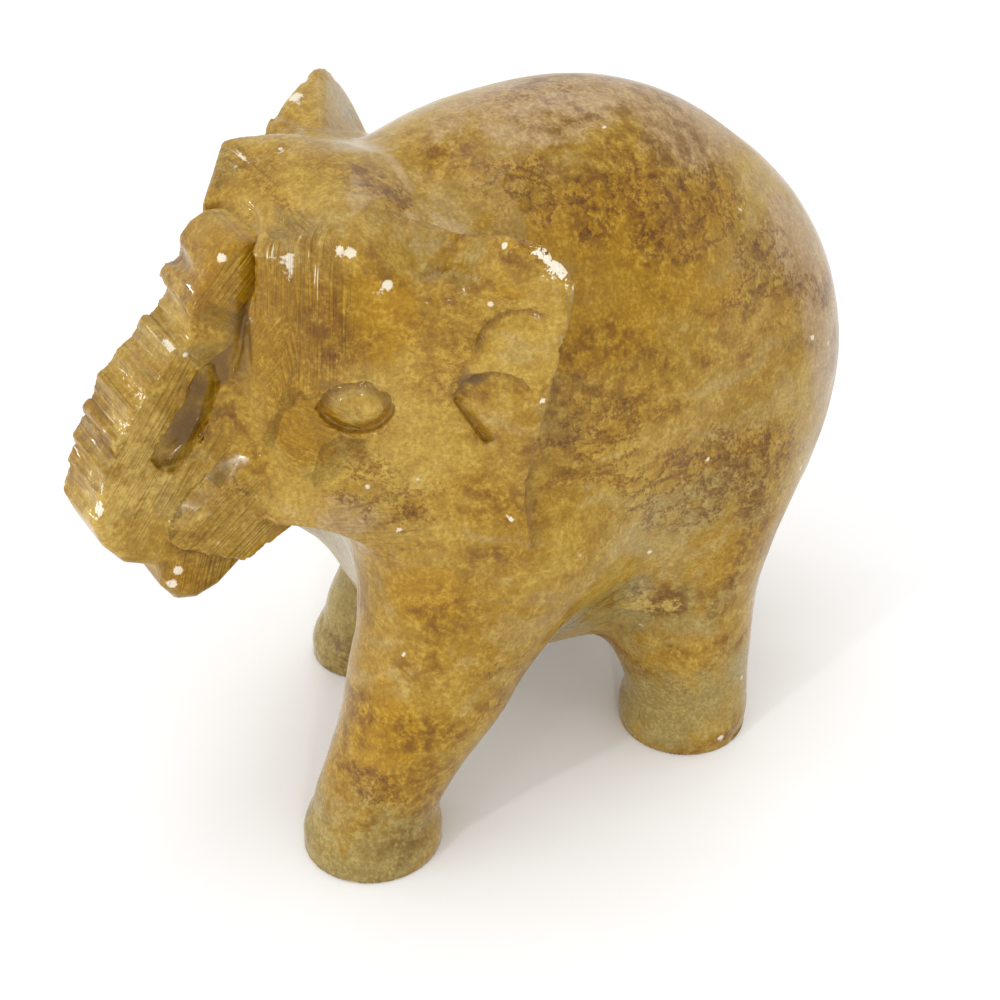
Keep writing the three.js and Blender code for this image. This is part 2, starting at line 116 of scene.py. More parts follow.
@dataclass(frozen=True)
class Egg:
    """An egg shape whose long axis is tipped by its pitch, in degrees."""

    at: Triple
    radii: Triple
    pitch: float = 0.0

    def distance(self, x: Array, y: Array, z: Array) -> Array:
        """Distance of points from the egg.

        Args:
            x: Places across the carving.
            y: Places along it, the rump being positive.
            z: Heights.

        Returns:
            Distances, negative inside.
        """
        c, s = math.cos(math.radians(self.pitch)), math.sin(math.radians(self.pitch))
        a, b, e = self.radii
        u = x - self.at[0]
        v = c * (y - self.at[1]) + s * (z - self.at[2])
        w = c * (z - self.at[2]) - s * (y - self.at[1])
        near = np.sqrt((u / a) ** 2 + (v / b) ** 2 + (w / e) ** 2)
        far = np.sqrt((u / (a * a)) ** 2 + (v / (b * b)) ** 2 + (w / (e * e)) ** 2)
        return near * (near - 1) / np.maximum(far, 1e-9)


@dataclass(frozen=True)
class Plane:
    """A flat cut: which way it faces and a point that it goes through."""

    facing: Triple
    through: Triple

    def distance(self, x: Array, y: Array, z: Array) -> Array:
        """Distance of points in front of the plane."""
        n = Vector(self.facing).normalized()
        return n.x * x + n.y * y + n.z * z - n.dot(Vector(self.through))


@dataclass(frozen=True)
class Block:
    """What a set of flat cuts leaves, its edges rounded over a width."""

    cuts: tuple[Plane, ...]
    edge: float

    def distance(self, x: Array, y: Array, z: Array) -> Array:
        """Distance of points from the block.

        Args:
            x: Places across the carving.
            y: Places along it, the rump being positive.
            z: Heights.

        Returns:
            Distances, negative inside.
        """
        d = self.cuts[0].distance(x, y, z)
        for cut in self.cuts[1:]:
            d = overlap(d, cut.distance(x, y, z), self.edge)
        return d


@dataclass(frozen=True)
class Limb:
    """A round limb that tapers from one ball to the next, each ball being x, y, z and radius."""

    balls: tuple[tuple[float, float, float, float], ...]
    blend: float

    def distance(self, x: Array, y: Array, z: Array) -> Array:
        """Distance of points from the limb.

        Args:
            x: Places across the carving.
            y: Places along it, the rump being positive.
            z: Heights.

        Returns:
            Distances, negative inside.
        """
        d: Array | None = None
        for (ax, ay, az, ar), (bx, by, bz, br) in zip(self.balls, self.balls[1:]):
            bx, by, bz, br = bx - ax, by - ay, bz - az, br - ar
            u, v, w = x - ax, y - ay, z - az
            t = np.clip((u * bx + v * by + w * bz) / (bx * bx + by * by + bz * bz), 0, 1)
            span = np.sqrt((u - t * bx) ** 2 + (v - t * by) ** 2 + (w - t * bz) ** 2) - ar - t * br
            d = span if d is None else join(d, span, self.blend)
        return d


@dataclass(frozen=True)
class Slab:
    """A side view outline of y and z points, given a half width and a rounded edge."""

    outline: tuple[tuple[float, float], ...]
    middle: float
    half_width: float
    edge: float
    reach: float = 6.0

    def section(self, u: Array, v: Array) -> Array:
        """Signed distance from the outline in the side view.

        Args:
            u: Places along the carving.
            v: Heights.

        Returns:
            Distances, negative inside the outline.
        """
        best = np.full_like(u, np.inf)
        side = np.ones_like(u)
        for (au, av), (bu, bv) in zip(self.outline, (self.outline[-1], *self.outline[:-1])):
            eu, ev, wu, wv = bu - au, bv - av, u - au, v - av
            t = np.clip((wu * eu + wv * ev) / (eu * eu + ev * ev), 0, 1)
            best = np.minimum(best, (wu - t * eu) ** 2 + (wv - t * ev) ** 2)
            above, below, left = v >= av, v < bv, eu * wv > ev * wu
            side = np.where((above == below) & (below == left), -side, side)
        return side * np.sqrt(best)

    def distance(self, x: Array, y: Array, z: Array) -> Array:
        """Distance of points from the slab.

        Args:
            x: Places across the carving.
            y: Places along it, the rump being positive.
            z: Heights.

        Returns:
            Distances, negative inside.
        """
        across = np.abs(x - self.middle) - self.half_width
        ys, zs = [p[0] for p in self.outline], [p[1] for p in self.outline]
        away = np.maximum.reduce([min(ys) - y, y - max(ys), min(zs) - z, z - max(zs), across])
        near = away <= self.reach
        away[near] = rounded_corner(self.section(y[near], z[near]), across[near], self.edge)
        return away


# The carving's parts

@dataclass(frozen=True)
class Torso:
    """Barrel, rump and neck joined softly, with the chest trimmed under the jaw."""

    barrel: Egg = Egg((0, 14.2, 54.1), (27.9, 42.7, 43.3), -4.2)
    rump: Egg = Egg((0, 37.7, 50.4), (24.2, 24, 31.5), -3)
    neck: Egg = Egg((0, 2.8, 69), (21.4, 25.7, 26.9))
    chest: Plane = Plane((0, -1, -0.3), (0, -19.2, 41.8))
    chest_edge: float = 6.0
    shoulder: Limb = Limb(((14.3, -12, 50, 9.3), (16.5, -11.5, 38, 9.5)), 1)
    rump_blend: float = 8.0
    neck_blend: float = 6.0
    shoulder_blend: float = 7.0

    def distance(self, x: Array, y: Array, z: Array) -> Array:
        """Distance of points from the torso.

        Args:
            x: Places across the carving.
            y: Places along it, the rump being positive.
            z: Heights.

        Returns:
            Distances, negative inside.
        """
        front = self.chest.distance(np.abs(x), y, z)
        barrel = overlap(self.barrel.distance(x, y, z), front, self.chest_edge)
        neck = overlap(self.neck.distance(x, y, z), front, self.chest_edge)
        d = join(join(barrel, self.rump.distance(x, y, z), self.rump_blend), neck, self.neck_blend)
        return join(d, self.shoulder.distance(np.abs(x), y, z), self.shoulder_blend)


@dataclass(frozen=True)
class Leg:
    """One leg: a foot with a rounded rim, sunk below the floor, and a tapering limb from ankle to hip."""

    sole: tuple[float, float]
    radii: tuple[float, float]
    top: float
    rim: float
    ankle: float
    knee: tuple[float, float, float, float]
    hip: tuple[float, float, float, float]
    sunk: float = 6.0
    ankle_back: float = 0.5
    ankle_up: float = 7.5
    limb_blend: float = 6.0
    foot_blend: float = 4.0

    def distance(self, x: Array, y: Array, z: Array) -> Array:
        """Distance of points from the leg.

        Args:
            x: Places across the carving.
            y: Places along it, the rump being positive.
            z: Heights.

        Returns:
            Distances, negative inside.
        """
        sx, sy = self.sole
        rx, ry = self.radii
        wall = np.hypot(x - sx, (y - sy) * rx / ry) - rx
        middle, half = (self.top - self.sunk) / 2, (self.top + self.sunk) / 2
        foot = rounded_corner(wall, np.abs(z - middle) - half, self.rim)
        ankle = (sx, sy + self.ankle_back, self.ankle_up, self.ankle)
        limb = Limb((ankle, self.knee, self.hip), self.limb_blend)
        return join(foot, limb.distance(x, y, z), self.foot_blend)


# Flat cuts of the head's left side, which both sides share
CHEEK = Plane((0.849, -0.528, 0), (16.6, -23.4, 70))
FACE = Plane((0.626, -0.774, 0.09), (16.7, -22.9, 92.8))
UNDERSIDE = Plane((0, -0.05, -1), (10, -8, 50.3))
EAR_REAR = Plane((0.1, 0.98, -0.19), (30, 0.9, 87))
FOREHEAD = Plane((0, -0.49, 0.87), (16, -22.8, 94.8))
CROWN = Plane((0.03, 0, 1), (10, -20, 96))
NAPE = Plane((0.22, 0.38, 0.9), (8, -13, 94.6))
EAR_TOP = Plane((0, -0.22, 0.975), (28, -3, 94.4))
EAR_TOP_FRONT = Plane((0, -0.75, 0.66), (27, -12.5, 92.2))
EAR_TOP_REAR = Plane((0, 0.9, 0.42), (28, -1.2, 92.4))
EAR_INSIDE = Plane((-0.42, 0.72, 0.55), (28.3, -3, 93.6))
EAR_ROOT = Plane((-0.6, -0.8, 0), (16, -20, 60))
BACKWARD = Vector((0.528, 0.849, 0)).normalized()


@dataclass(frozen=True)
class Arc:
    """A chisel cut round part of a circle on the ear, in cheek coordinates and degrees."""

    centre: tuple[float, float]
    radius: float
    start: float
    end: float
    deep: float
    wide: float


@dataclass(frozen=True)
class CheekCuts:
    """Eye and ear folds cut in the cheek, placed by distance back from its edge and by height."""

    eye: tuple[float, float] = (0.8, 69.9)
    eye_long: float = 4.9
    eye_tall: float = 3.8
    eye_deep: float = 1.35
    eye_wide: float = 2.0
    folds: tuple[Arc, ...] = (
        Arc((21.5, 79), 5.6, 50, 190, 1.2, 3.2),
        Arc((18.1, 70.1), 5.5, 25, 172, 1.4, 3.2),
    )
    notch_from: tuple[float, float] = (12.9, 71.3)
    notch_to: tuple[float, float] = (17.0, 64.7)
    notch_deep: float = 1.2
    notch_wide: float = 2.6
    fade: float = 25.0
    reach: float = 4.0
    span: tuple[float, float] = (58.0, 90.0)

    @staticmethod
    def chisel(edge: Array, outside: Array, deep: Array | float, wide: float) -> Array:
        """A cut with a steep wall where `edge` is zero and a floor that rises over its width."""
        floor = -(outside + deep * (1 + edge / wide)) / np.hypot(1, deep / wide)
        return np.maximum(edge, floor)

    def distance(self, x: Array, y: Array, z: Array) -> Array:
        """Distance of points on one side from what the cuts take away.

        Args:
            x: Places across, measured out from the middle on either side.
            y: Places along it, the rump being positive.
            z: Heights.

        Returns:
            Distances, negative in what is cut away.
        """
        d = np.full_like(x, self.reach)
        outside = CHEEK.distance(x, y, z)
        near = (np.abs(outside) <= self.reach) & (z >= self.span[0]) & (z <= self.span[1])
        out, h = outside[near], z[near]
        back = (x[near] - CHEEK.through[0]) * BACKWARD.x + (y[near] - CHEEK.through[1]) * BACKWARD.y
        u, v = back - self.eye[0], h - self.eye[1]
        lens = (self.eye_long**2 - self.eye_tall**2) / (2 * self.eye_tall)
        rim = np.hypot(u, np.abs(v) + lens) - self.eye_tall - lens
        cut = self.chisel(rim, out, self.eye_deep, self.eye_wide)
        for arc in self.folds:
            s, t = back - arc.centre[0], h - arc.centre[1]
            angle = np.degrees(np.arctan2(t, s))
            angle = np.where(angle < -90, angle + 360, angle)
            share = np.clip(np.minimum(angle - arc.start, arc.end - angle) / self.fade, 0, 1)
            fold = self.chisel(np.hypot(s, t) - arc.radius, out, arc.deep * share, arc.wide)
            cut = np.where(share > 0, np.minimum(cut, fold), cut)
        (ax, ay), (bx, by) = self.notch_from, self.notch_to
        long = math.hypot(bx - ax, by - ay)
        run = ((back - ax) * (bx - ax) + (h - ay) * (by - ay)) / long
        off = ((back - ax) * (by - ay) - (h - ay) * (bx - ax)) / long
        notch = self.chisel(off, out, self.notch_deep, self.notch_wide)
        d[near] = np.minimum(cut, np.maximum(np.maximum(-run, run - long), notch))
        return d


@dataclass(frozen=True)
class Trunk:
    """The upright trunk: a scalloped bar with notches at its curled tip and a slot in each side."""

    half_width: float = 5.3
    edge: float = 1.1
    tip: tuple[tuple[float, float], ...] = (
        (-26.4, 91.7), (-29.4, 90.4), (-31.6, 90.6), (-33.8, 89.7), (-36, 87.4), (-37.8, 85), (-39, 82.8),
        (-38.8, 81.4),
    )
    ridges: tuple[tuple[float, float], ...] = (
        (-38.8, 80.8), (-41.7, 78), (-45.4, 74.5), (-48.2, 71.7), (-50.7, 67.7), (-52.6, 64),
        (-53.8, 60.4), (-54.8, 56.6),
    )
    bend: tuple[tuple[float, float], ...] = ((-53.4, 52.4), (-50.8, 48.8), (-47, 46.8))
    root: tuple[tuple[float, float], ...] = ((-40, 46), (-30, 48), (-24, 60), (-26, 88))
    scallop: float = 0.8
    notches: tuple[Limb, ...] = (
        Limb(((-8, -36.8, 86.1, 2.1), (2.4, -37.7, 87.2, 1.2)), 1),
        Limb(((-8, -38.8, 81.2, 1.7), (3.2, -39.7, 82, 1.2)), 1),
    )
    slot: Slab = Slab(
        ((-36.2, 74.6), (-36.0, 71.0), (-37.8, 66), (-40.2, 62.4), (-42.5, 60.9), (-44.8, 61.4),
         (-45.9, 63.4), (-43.6, 66.6), (-40.6, 70.4), (-38.2, 74.0)), 6.2, 3.6, 1.2)
    channel: Limb = Limb(
        ((0, -35.5, 96, 8.2), (0, -35.5, 87, 8.2), (0, -38.4, 77, 7.8), (0, -41.5, 69, 6.3)), 2)
    notch_edge: float = 0.5

    def distance(self, x: Array, y: Array, z: Array) -> Array:
        """Distance of points from the trunk.

        Args:
            x: Places across the carving.
            y: Places along it, the rump being positive.
            z: Heights.

        Returns:
            Distances, negative inside.
        """
        bar = Slab((*self.tip, *self.ridges, *self.bend, *self.root), 0, self.half_width, self.edge)
        d = bar.distance(x, y, z)
        for (y0, z0), (y1, z1) in zip(self.ridges, self.ridges[1:]):
            half = math.hypot(y1 - y0, z1 - z0) / 2
            radius = (half * half + self.scallop**2) / (2 * self.scallop)
            out = (radius - self.scallop) / (2 * half)
            cy, cz = (y0 + y1) / 2 + (z1 - z0) * out, (z0 + z1) / 2 - (y1 - y0) * out
            d = np.maximum(d, radius - np.hypot(y - cy, z - cz))
        for notch in self.notches:
            d = overlap(d, -notch.distance(x, y, z), self.notch_edge)
        return d


@dataclass(frozen=True)
class Jaw:
    """Square tusks, and the lower lip between and below them."""

    tusk: Block = Block((
        Plane((0.553, -0.553, 0.624), (5.3, -35.1, 63.2)),
        Plane((0.99, -0.115, -0.05), (9.5, -33.5, 60.9)),
        Plane((0.68, -0.73, 0), (5.3, -45.6, 53.9)),
        Plane((0, -0.48, -0.88), (7.5, -42.8, 49.2)),
        Plane((0, 0.55, -0.83), (0, -35.6, 45)),
        Plane((0, 1, 0), (0, -26, 50)),
    ), 0.7)
    lip: Slab = Slab(
        ((-45.8, 45.5), (-46, 42.6), (-44.3, 40), (-41.5, 39.2), (-38, 40.2), (-34.5, 43), (-30, 46.3),
         (-26, 48.3), (-26, 52), (-44, 49)), 0, 5.8, 2.4)
    blend: float = 0.8

    def distance(self, x: Array, y: Array, z: Array) -> Array:
        """Distance of points on one side from the jaw."""
        return join(self.tusk.distance(x, y, z), self.lip.distance(x, y, z), self.blend)


@dataclass(frozen=True)
class Head:
    """A wedge of flat cuts that widens back to the ears, with the valleys, trunk and jaw."""

    skull_top: Block = Block((FOREHEAD, CROWN, NAPE), 3.6)
    skull_sides: Block = Block((CHEEK, FACE, UNDERSIDE, EAR_REAR), 1.1)
    ear: Block = Block(
        (CHEEK, EAR_REAR, EAR_TOP, EAR_TOP_FRONT, EAR_TOP_REAR, EAR_INSIDE, UNDERSIDE, EAR_ROOT), 1.9)
    valley_left: Triple = (20.9, -13.4, 86.4)
    valley_right: Triple = (18.2, -17.6, 89)
    valley_climb: float = 33.0
    valley_floor: float = 3.8
    valley_spread: float = 0.72
    valley_rise: float = 0.7
    crest_left: float = 5.0
    crest_right: float = 1.2
    far_ear_back: float = 0.5
    skull_edge: float = 1.1
    ear_edge: float = 1.2
    ear_blend: float = 0.6
    cut_edge: float = 0.35
    channel_edge: float = 1.0
    slot_edge: float = 0.8
    trunk_blend: float = 0.5
    jaw_blend: float = 0.8
    cuts: CheekCuts = CheekCuts()
    trunk: Trunk = Trunk()
    jaw: Jaw = Jaw()

    def valley(self, x: Array, y: Array, z: Array, right: Array) -> Array:
        """Distance of points from the hollow between temple and ear, on the side that they are on.

        Args:
            x: Places across, measured out from the middle on either side.
            y: Places along it, the rump being positive.
            z: Heights.
            right: Whether each point is on the right side.

        Returns:
            Distances, negative in the hollow.
        """
        (lx, ly, lz), (rx, ry, rz) = self.valley_left, self.valley_right
        u, v, w = x - np.where(right, rx, lx), y - np.where(right, ry, ly), z - np.where(right, rz, lz)
        climb = math.radians(self.valley_climb)
        along = u * BACKWARD.x + v * BACKWARD.y
        up = (u * BACKWARD.y - v * BACKWARD.x) * math.sin(climb) + w * math.cos(climb)
        walls = np.hypot(along, self.valley_floor) - self.valley_floor
        return self.valley_spread * walls - self.valley_rise * up

    def distance(self, x: Array, y: Array, z: Array) -> Array:
        """Distance of points from the head.

        Args:
            x: Places across the carving.
            y: Places along it, the rump being positive.
            z: Heights.

        Returns:
            Distances, negative inside.
        """
        side = np.abs(x)
        above_valley = -self.valley(side, y, z, x < 0)
        crest = np.where(x < 0, self.crest_right, self.crest_left)
        top = overlap(self.skull_top.distance(side, y, z), above_valley, crest)
        ear = self.ear.distance(side, np.where(x < 0, y - self.far_ear_back, y), z)
        skull = overlap(top, self.skull_sides.distance(side, y, z), self.skull_edge)
        d = join(skull, overlap(ear, above_valley, self.ear_edge), self.ear_blend)
        d = overlap(d, -self.cuts.distance(side, y, z), self.cut_edge)
        d = overlap(d, -self.trunk.channel.distance(side, y, z), self.channel_edge)
        slot = -self.trunk.slot.distance(side, y, z)
        trunk = overlap(self.trunk.distance(x, y, z), slot, self.slot_edge)
        d = join(overlap(d, slot, self.slot_edge), trunk, self.trunk_blend)
        return join(d, self.jaw.distance(side, y, z), self.jaw_blend)


# Drawing the surface

@dataclass(frozen=True)
class Draughtsman:
    """Draws the surface where a distance is zero: one point in each cell that it crosses."""

    low: Triple = (-34.5, -57.5, -2.7)
    high: Triple = (34.5, 66.5, 100.5)
    cell: float = 0.45
    stride: int = 4
    margin: float = 1.35

    def sample(self, distance: Field) -> Array:
        """Distances at every grid point, exact near the surface and rough far from it.

        Args:
            distance: Distance from the solid.

        Returns:
            The distances, by the numbers of the grid's points.
        """
        coarse_cell = self.cell * self.stride
        counts = [math.ceil((h - l) / coarse_cell) + 1 for l, h in zip(self.low, self.high)]
        axes = [l + coarse_cell * np.arange(n) for l, n in zip(self.low, counts)]
        grid = np.meshgrid(*axes, indexing="ij")
        coarse = distance(*(g.ravel() for g in grid)).reshape(counts)
        corners = [slice(0, -1), slice(1, None)]
        near = np.minimum.reduce([np.abs(coarse[a, b, c]) for a in corners for b in corners for c in corners])
        cells = near < coarse_cell * self.margin
        fine = [(n - 1) * self.stride + 1 for n in counts]
        nearest = [(np.arange(n) + self.stride // 2) // self.stride for n in fine]
        pick = [np.minimum(number, most - 1) for number, most in zip(nearest, counts)]
        values = coarse[np.ix_(*pick)].astype(np.float32)
        blocks = cells.repeat(self.stride, 0).repeat(self.stride, 1).repeat(self.stride, 2)
        active = np.zeros(fine, bool)
        for a in corners:
            for b in corners:
                for c in corners:
                    active[a, b, c] |= blocks
        at = np.nonzero(active)
        points = [(l + self.cell * i).astype(np.float32) for l, i in zip(self.low, at)]
        values[at] = distance(*points)
        return values

    @staticmethod
    def settle(values: Array) -> None:
        """Change the weakest sign of each square of samples whose signs cross over.

        Args:
            values: The samples, which are changed in place.
        """
        most_rounds, barely = 12, 0.02
        for _ in range(most_rounds):
            changed = False
            for a, b in ((0, 1), (1, 2), (0, 2)):
                def part(i: int, j: int) -> Array:
                    """The samples shifted by i and j along the two axes of the squares.

                    Args:
                        i: Shift along the first axis.
                        j: Shift along the second axis.

                    Returns:
                        The shifted samples.
                    """
                    cut = [slice(None)] * 3
                    cut[a] = slice(i, values.shape[a] - 1 + i)
                    cut[b] = slice(j, values.shape[b] - 1 + j)
                    return values[tuple(cut)]

                ring = [part(0, 0), part(1, 0), part(1, 1), part(0, 1)]
                s = [r < 0 for r in ring]
                bad = np.nonzero((s[0] == s[2]) & (s[1] == s[3]) & (s[0] != s[1]))
                for i, j, k in zip(*bad):
                    here = [float(r[i, j, k]) for r in ring]
                    weakest = min(range(4), key=lambda n: abs(here[n]))
                    ring[weakest][i, j, k] = barely if here[weakest] < 0 else -barely
                    changed = True
            if not changed:
                return

    def draw(self, distance: Field) -> tuple[Array, Array]:
        """Work out the surface.

        Args:
            distance: Distance from the solid, negative inside it.

        Returns:
            The points and the triangles.
        """
        values = self.sample(distance)
        self.settle(values)
        inside = values < 0
        n = [slice(0, -1), slice(1, None)]
        count = np.zeros([s - 1 for s in values.shape], np.int8)
        for a in n:
            for b in n:
                for c in n:
                    count += inside[a, b, c]
        cells = np.nonzero((count > 0) & (count < 8))
        number = np.full(count.shape, -1, np.int32)
        number[cells] = np.arange(len(cells[0]))
        total = np.zeros((len(cells[0]), 3))
        crossings = np.zeros(len(cells[0]))
        for axis in range(3):
            u, v = (axis + 1) % 3, (axis + 2) % 3
            for i in (0, 1):
                for j in (0, 1):
                    start = [0, 0, 0]
                    start[u], start[v] = i, j
                    end = list(start)
                    end[axis] = 1
                    va = values[tuple(c + s for c, s in zip(cells, start))].astype(float)
                    vb = values[tuple(c + s for c, s in zip(cells, end))].astype(float)
                    hit = (va < 0) != (vb < 0)
                    t = np.where(hit, va / np.where(hit, va - vb, 1), 0)
                    for k in range(3):
                        total[:, k] += np.where(hit, t if k == axis else start[k], 0)
                    crossings += hit
        points = (total / crossings[:, None] + np.stack(cells, 1)) * self.cell + np.array(self.low)
        quads = []
        for axis in range(3):
            u, v = (axis + 1) % 3, (axis + 2) % 3
            lower = [slice(None)] * 3
            upper = [slice(None)] * 3
            lower[axis], upper[axis] = slice(0, -1), slice(1, None)
            change = inside[tuple(lower)] != inside[tuple(upper)]
            at = np.stack(np.nonzero(change), 1)
            at = at[(at > 0).all(1)]
            ring = []
            for a, b in ((1, 1), (0, 1), (0, 0), (1, 0)):
                c = at.copy()
                c[:, u] -= a
                c[:, v] -= b
                ring.append(number[c[:, 0], c[:, 1], c[:, 2]])
            quad = np.stack(ring, 1)
            outside = ~inside[at[:, 0], at[:, 1], at[:, 2]]
            quad[outside] = quad[outside][:, ::-1]
            quads.append(quad)
        quad = np.concatenate(quads)
        p = points[quad]
        flat = ((p[:, 0] - p[:, 2]) ** 2).sum(1) <= ((p[:, 1] - p[:, 3]) ** 2).sum(1)
        first = np.where(flat[:, None], quad[:, [0, 1, 2]], quad[:, [1, 2, 3]])
        second = np.where(flat[:, None], quad[:, [0, 2, 3]], quad[:, [3, 0, 1]])
        return points, np.concatenate([first, second])


def slope(distance: Field, points: Array, step: float = 0.12) -> Array:
    """Direction in which a distance grows fastest at each point.

    Args:
        distance: The distance.
        points: The points, one to a row.
        step: How far from each point the distance is tried.

    Returns:
        One direction to a row, about 1 long.
    """
    corners = np.array([[1, -1, -1], [-1, -1, 1], [-1, 1, -1], [1, 1, 1]], float)
    total = np.zeros_like(points)
    for c in corners:
        p = points + c * step
        total += c * distance(p[:, 0], p[:, 1], p[:, 2])[:, None]
    return total / (4 * step)


class Drift:
    """Smooth seeded noise over space, about -1 to 1, worked out at the points of a mesh."""

    LOUDNESS = 1.6
    SHIFT = 17.3

    def __init__(self, seed: int) -> None:
        """Set out the noise for a seed.

        Args:
            seed: The seed, which gives the same noise each time.
        """
        rng = np.random.default_rng(seed)
        self.order = np.tile(rng.permutation(256), 2)
        ways = rng.normal(size=(256, 3))
        self.ways = ways / np.linalg.norm(ways, axis=1, keepdims=True)

    def at(self, p: Array) -> Array:
        """Noise with one bump to a unit of length.

        Args:
            p: The points, one to a row.

        Returns:
            The noise at each point.
        """
        cell = np.floor(p).astype(int)
        f = p - cell
        ease = f * f * f * (f * (f * 6 - 15) + 10)
        i = cell & 255
        total = np.zeros(len(p))
        for a in (0, 1):
            for b in (0, 1):
                for c in (0, 1):
                    n = self.order[self.order[self.order[(i[:, 0] + a) & 255] + ((i[:, 1] + b) & 255)]
                                   + ((i[:, 2] + c) & 255)]
                    corner = np.array([a, b, c])
                    weight = np.where(corner == 1, ease, 1 - ease).prod(1)
                    total += weight * (self.ways[n] * (f - corner)).sum(1)
        return total * self.LOUDNESS

    def clouds(self, p: Array, octaves: int, gain: float = 0.5) -> Array:
        """Noise with finer noise laid over it.

        Args:
            p: The points, one to a row.
            octaves: How many noises, each twice as fine as the last.
            gain: How strong each is beside the last.

        Returns:
            Their sum at each point.
        """
        total, share = np.zeros(len(p)), 1.0
        for octave in range(octaves):
            total += share * self.at(p * 2**octave + self.SHIFT * octave)
            share *= gain
        return total


# Colour of the stone

class Tone(Enum):
    """The tones that lie in patches: stone tones, painted shade, a painted reflection, and pale marks with
    painted glints. Each is a mask kept on the mesh under this name.
    """

    GOLD = "gold"
    RUST = "rust"
    PINK = "pink"
    GREY = "grey"
    OLIVE = "olive"
    DARK = "painted_shade"
    PALE = "pale"
    DUST_AND_GLINT = "dust_and_glint"


@dataclass(frozen=True)
class Patch:
    """A soft-edged patch of a tone: its middle and reach in carving units, and its strength."""

    at: Triple
    reach: Triple
    share: float = 1.0
    soft: tuple[float, float] = (0.4, 1.35)

    def mask(self, p: Array) -> Array:
        """How strongly the patch colours each point."""
        away = np.sqrt((((p - np.array(self.at)) / np.array(self.reach)) ** 2).sum(1))
        return self.share * (1 - smooth_step(*self.soft, away))


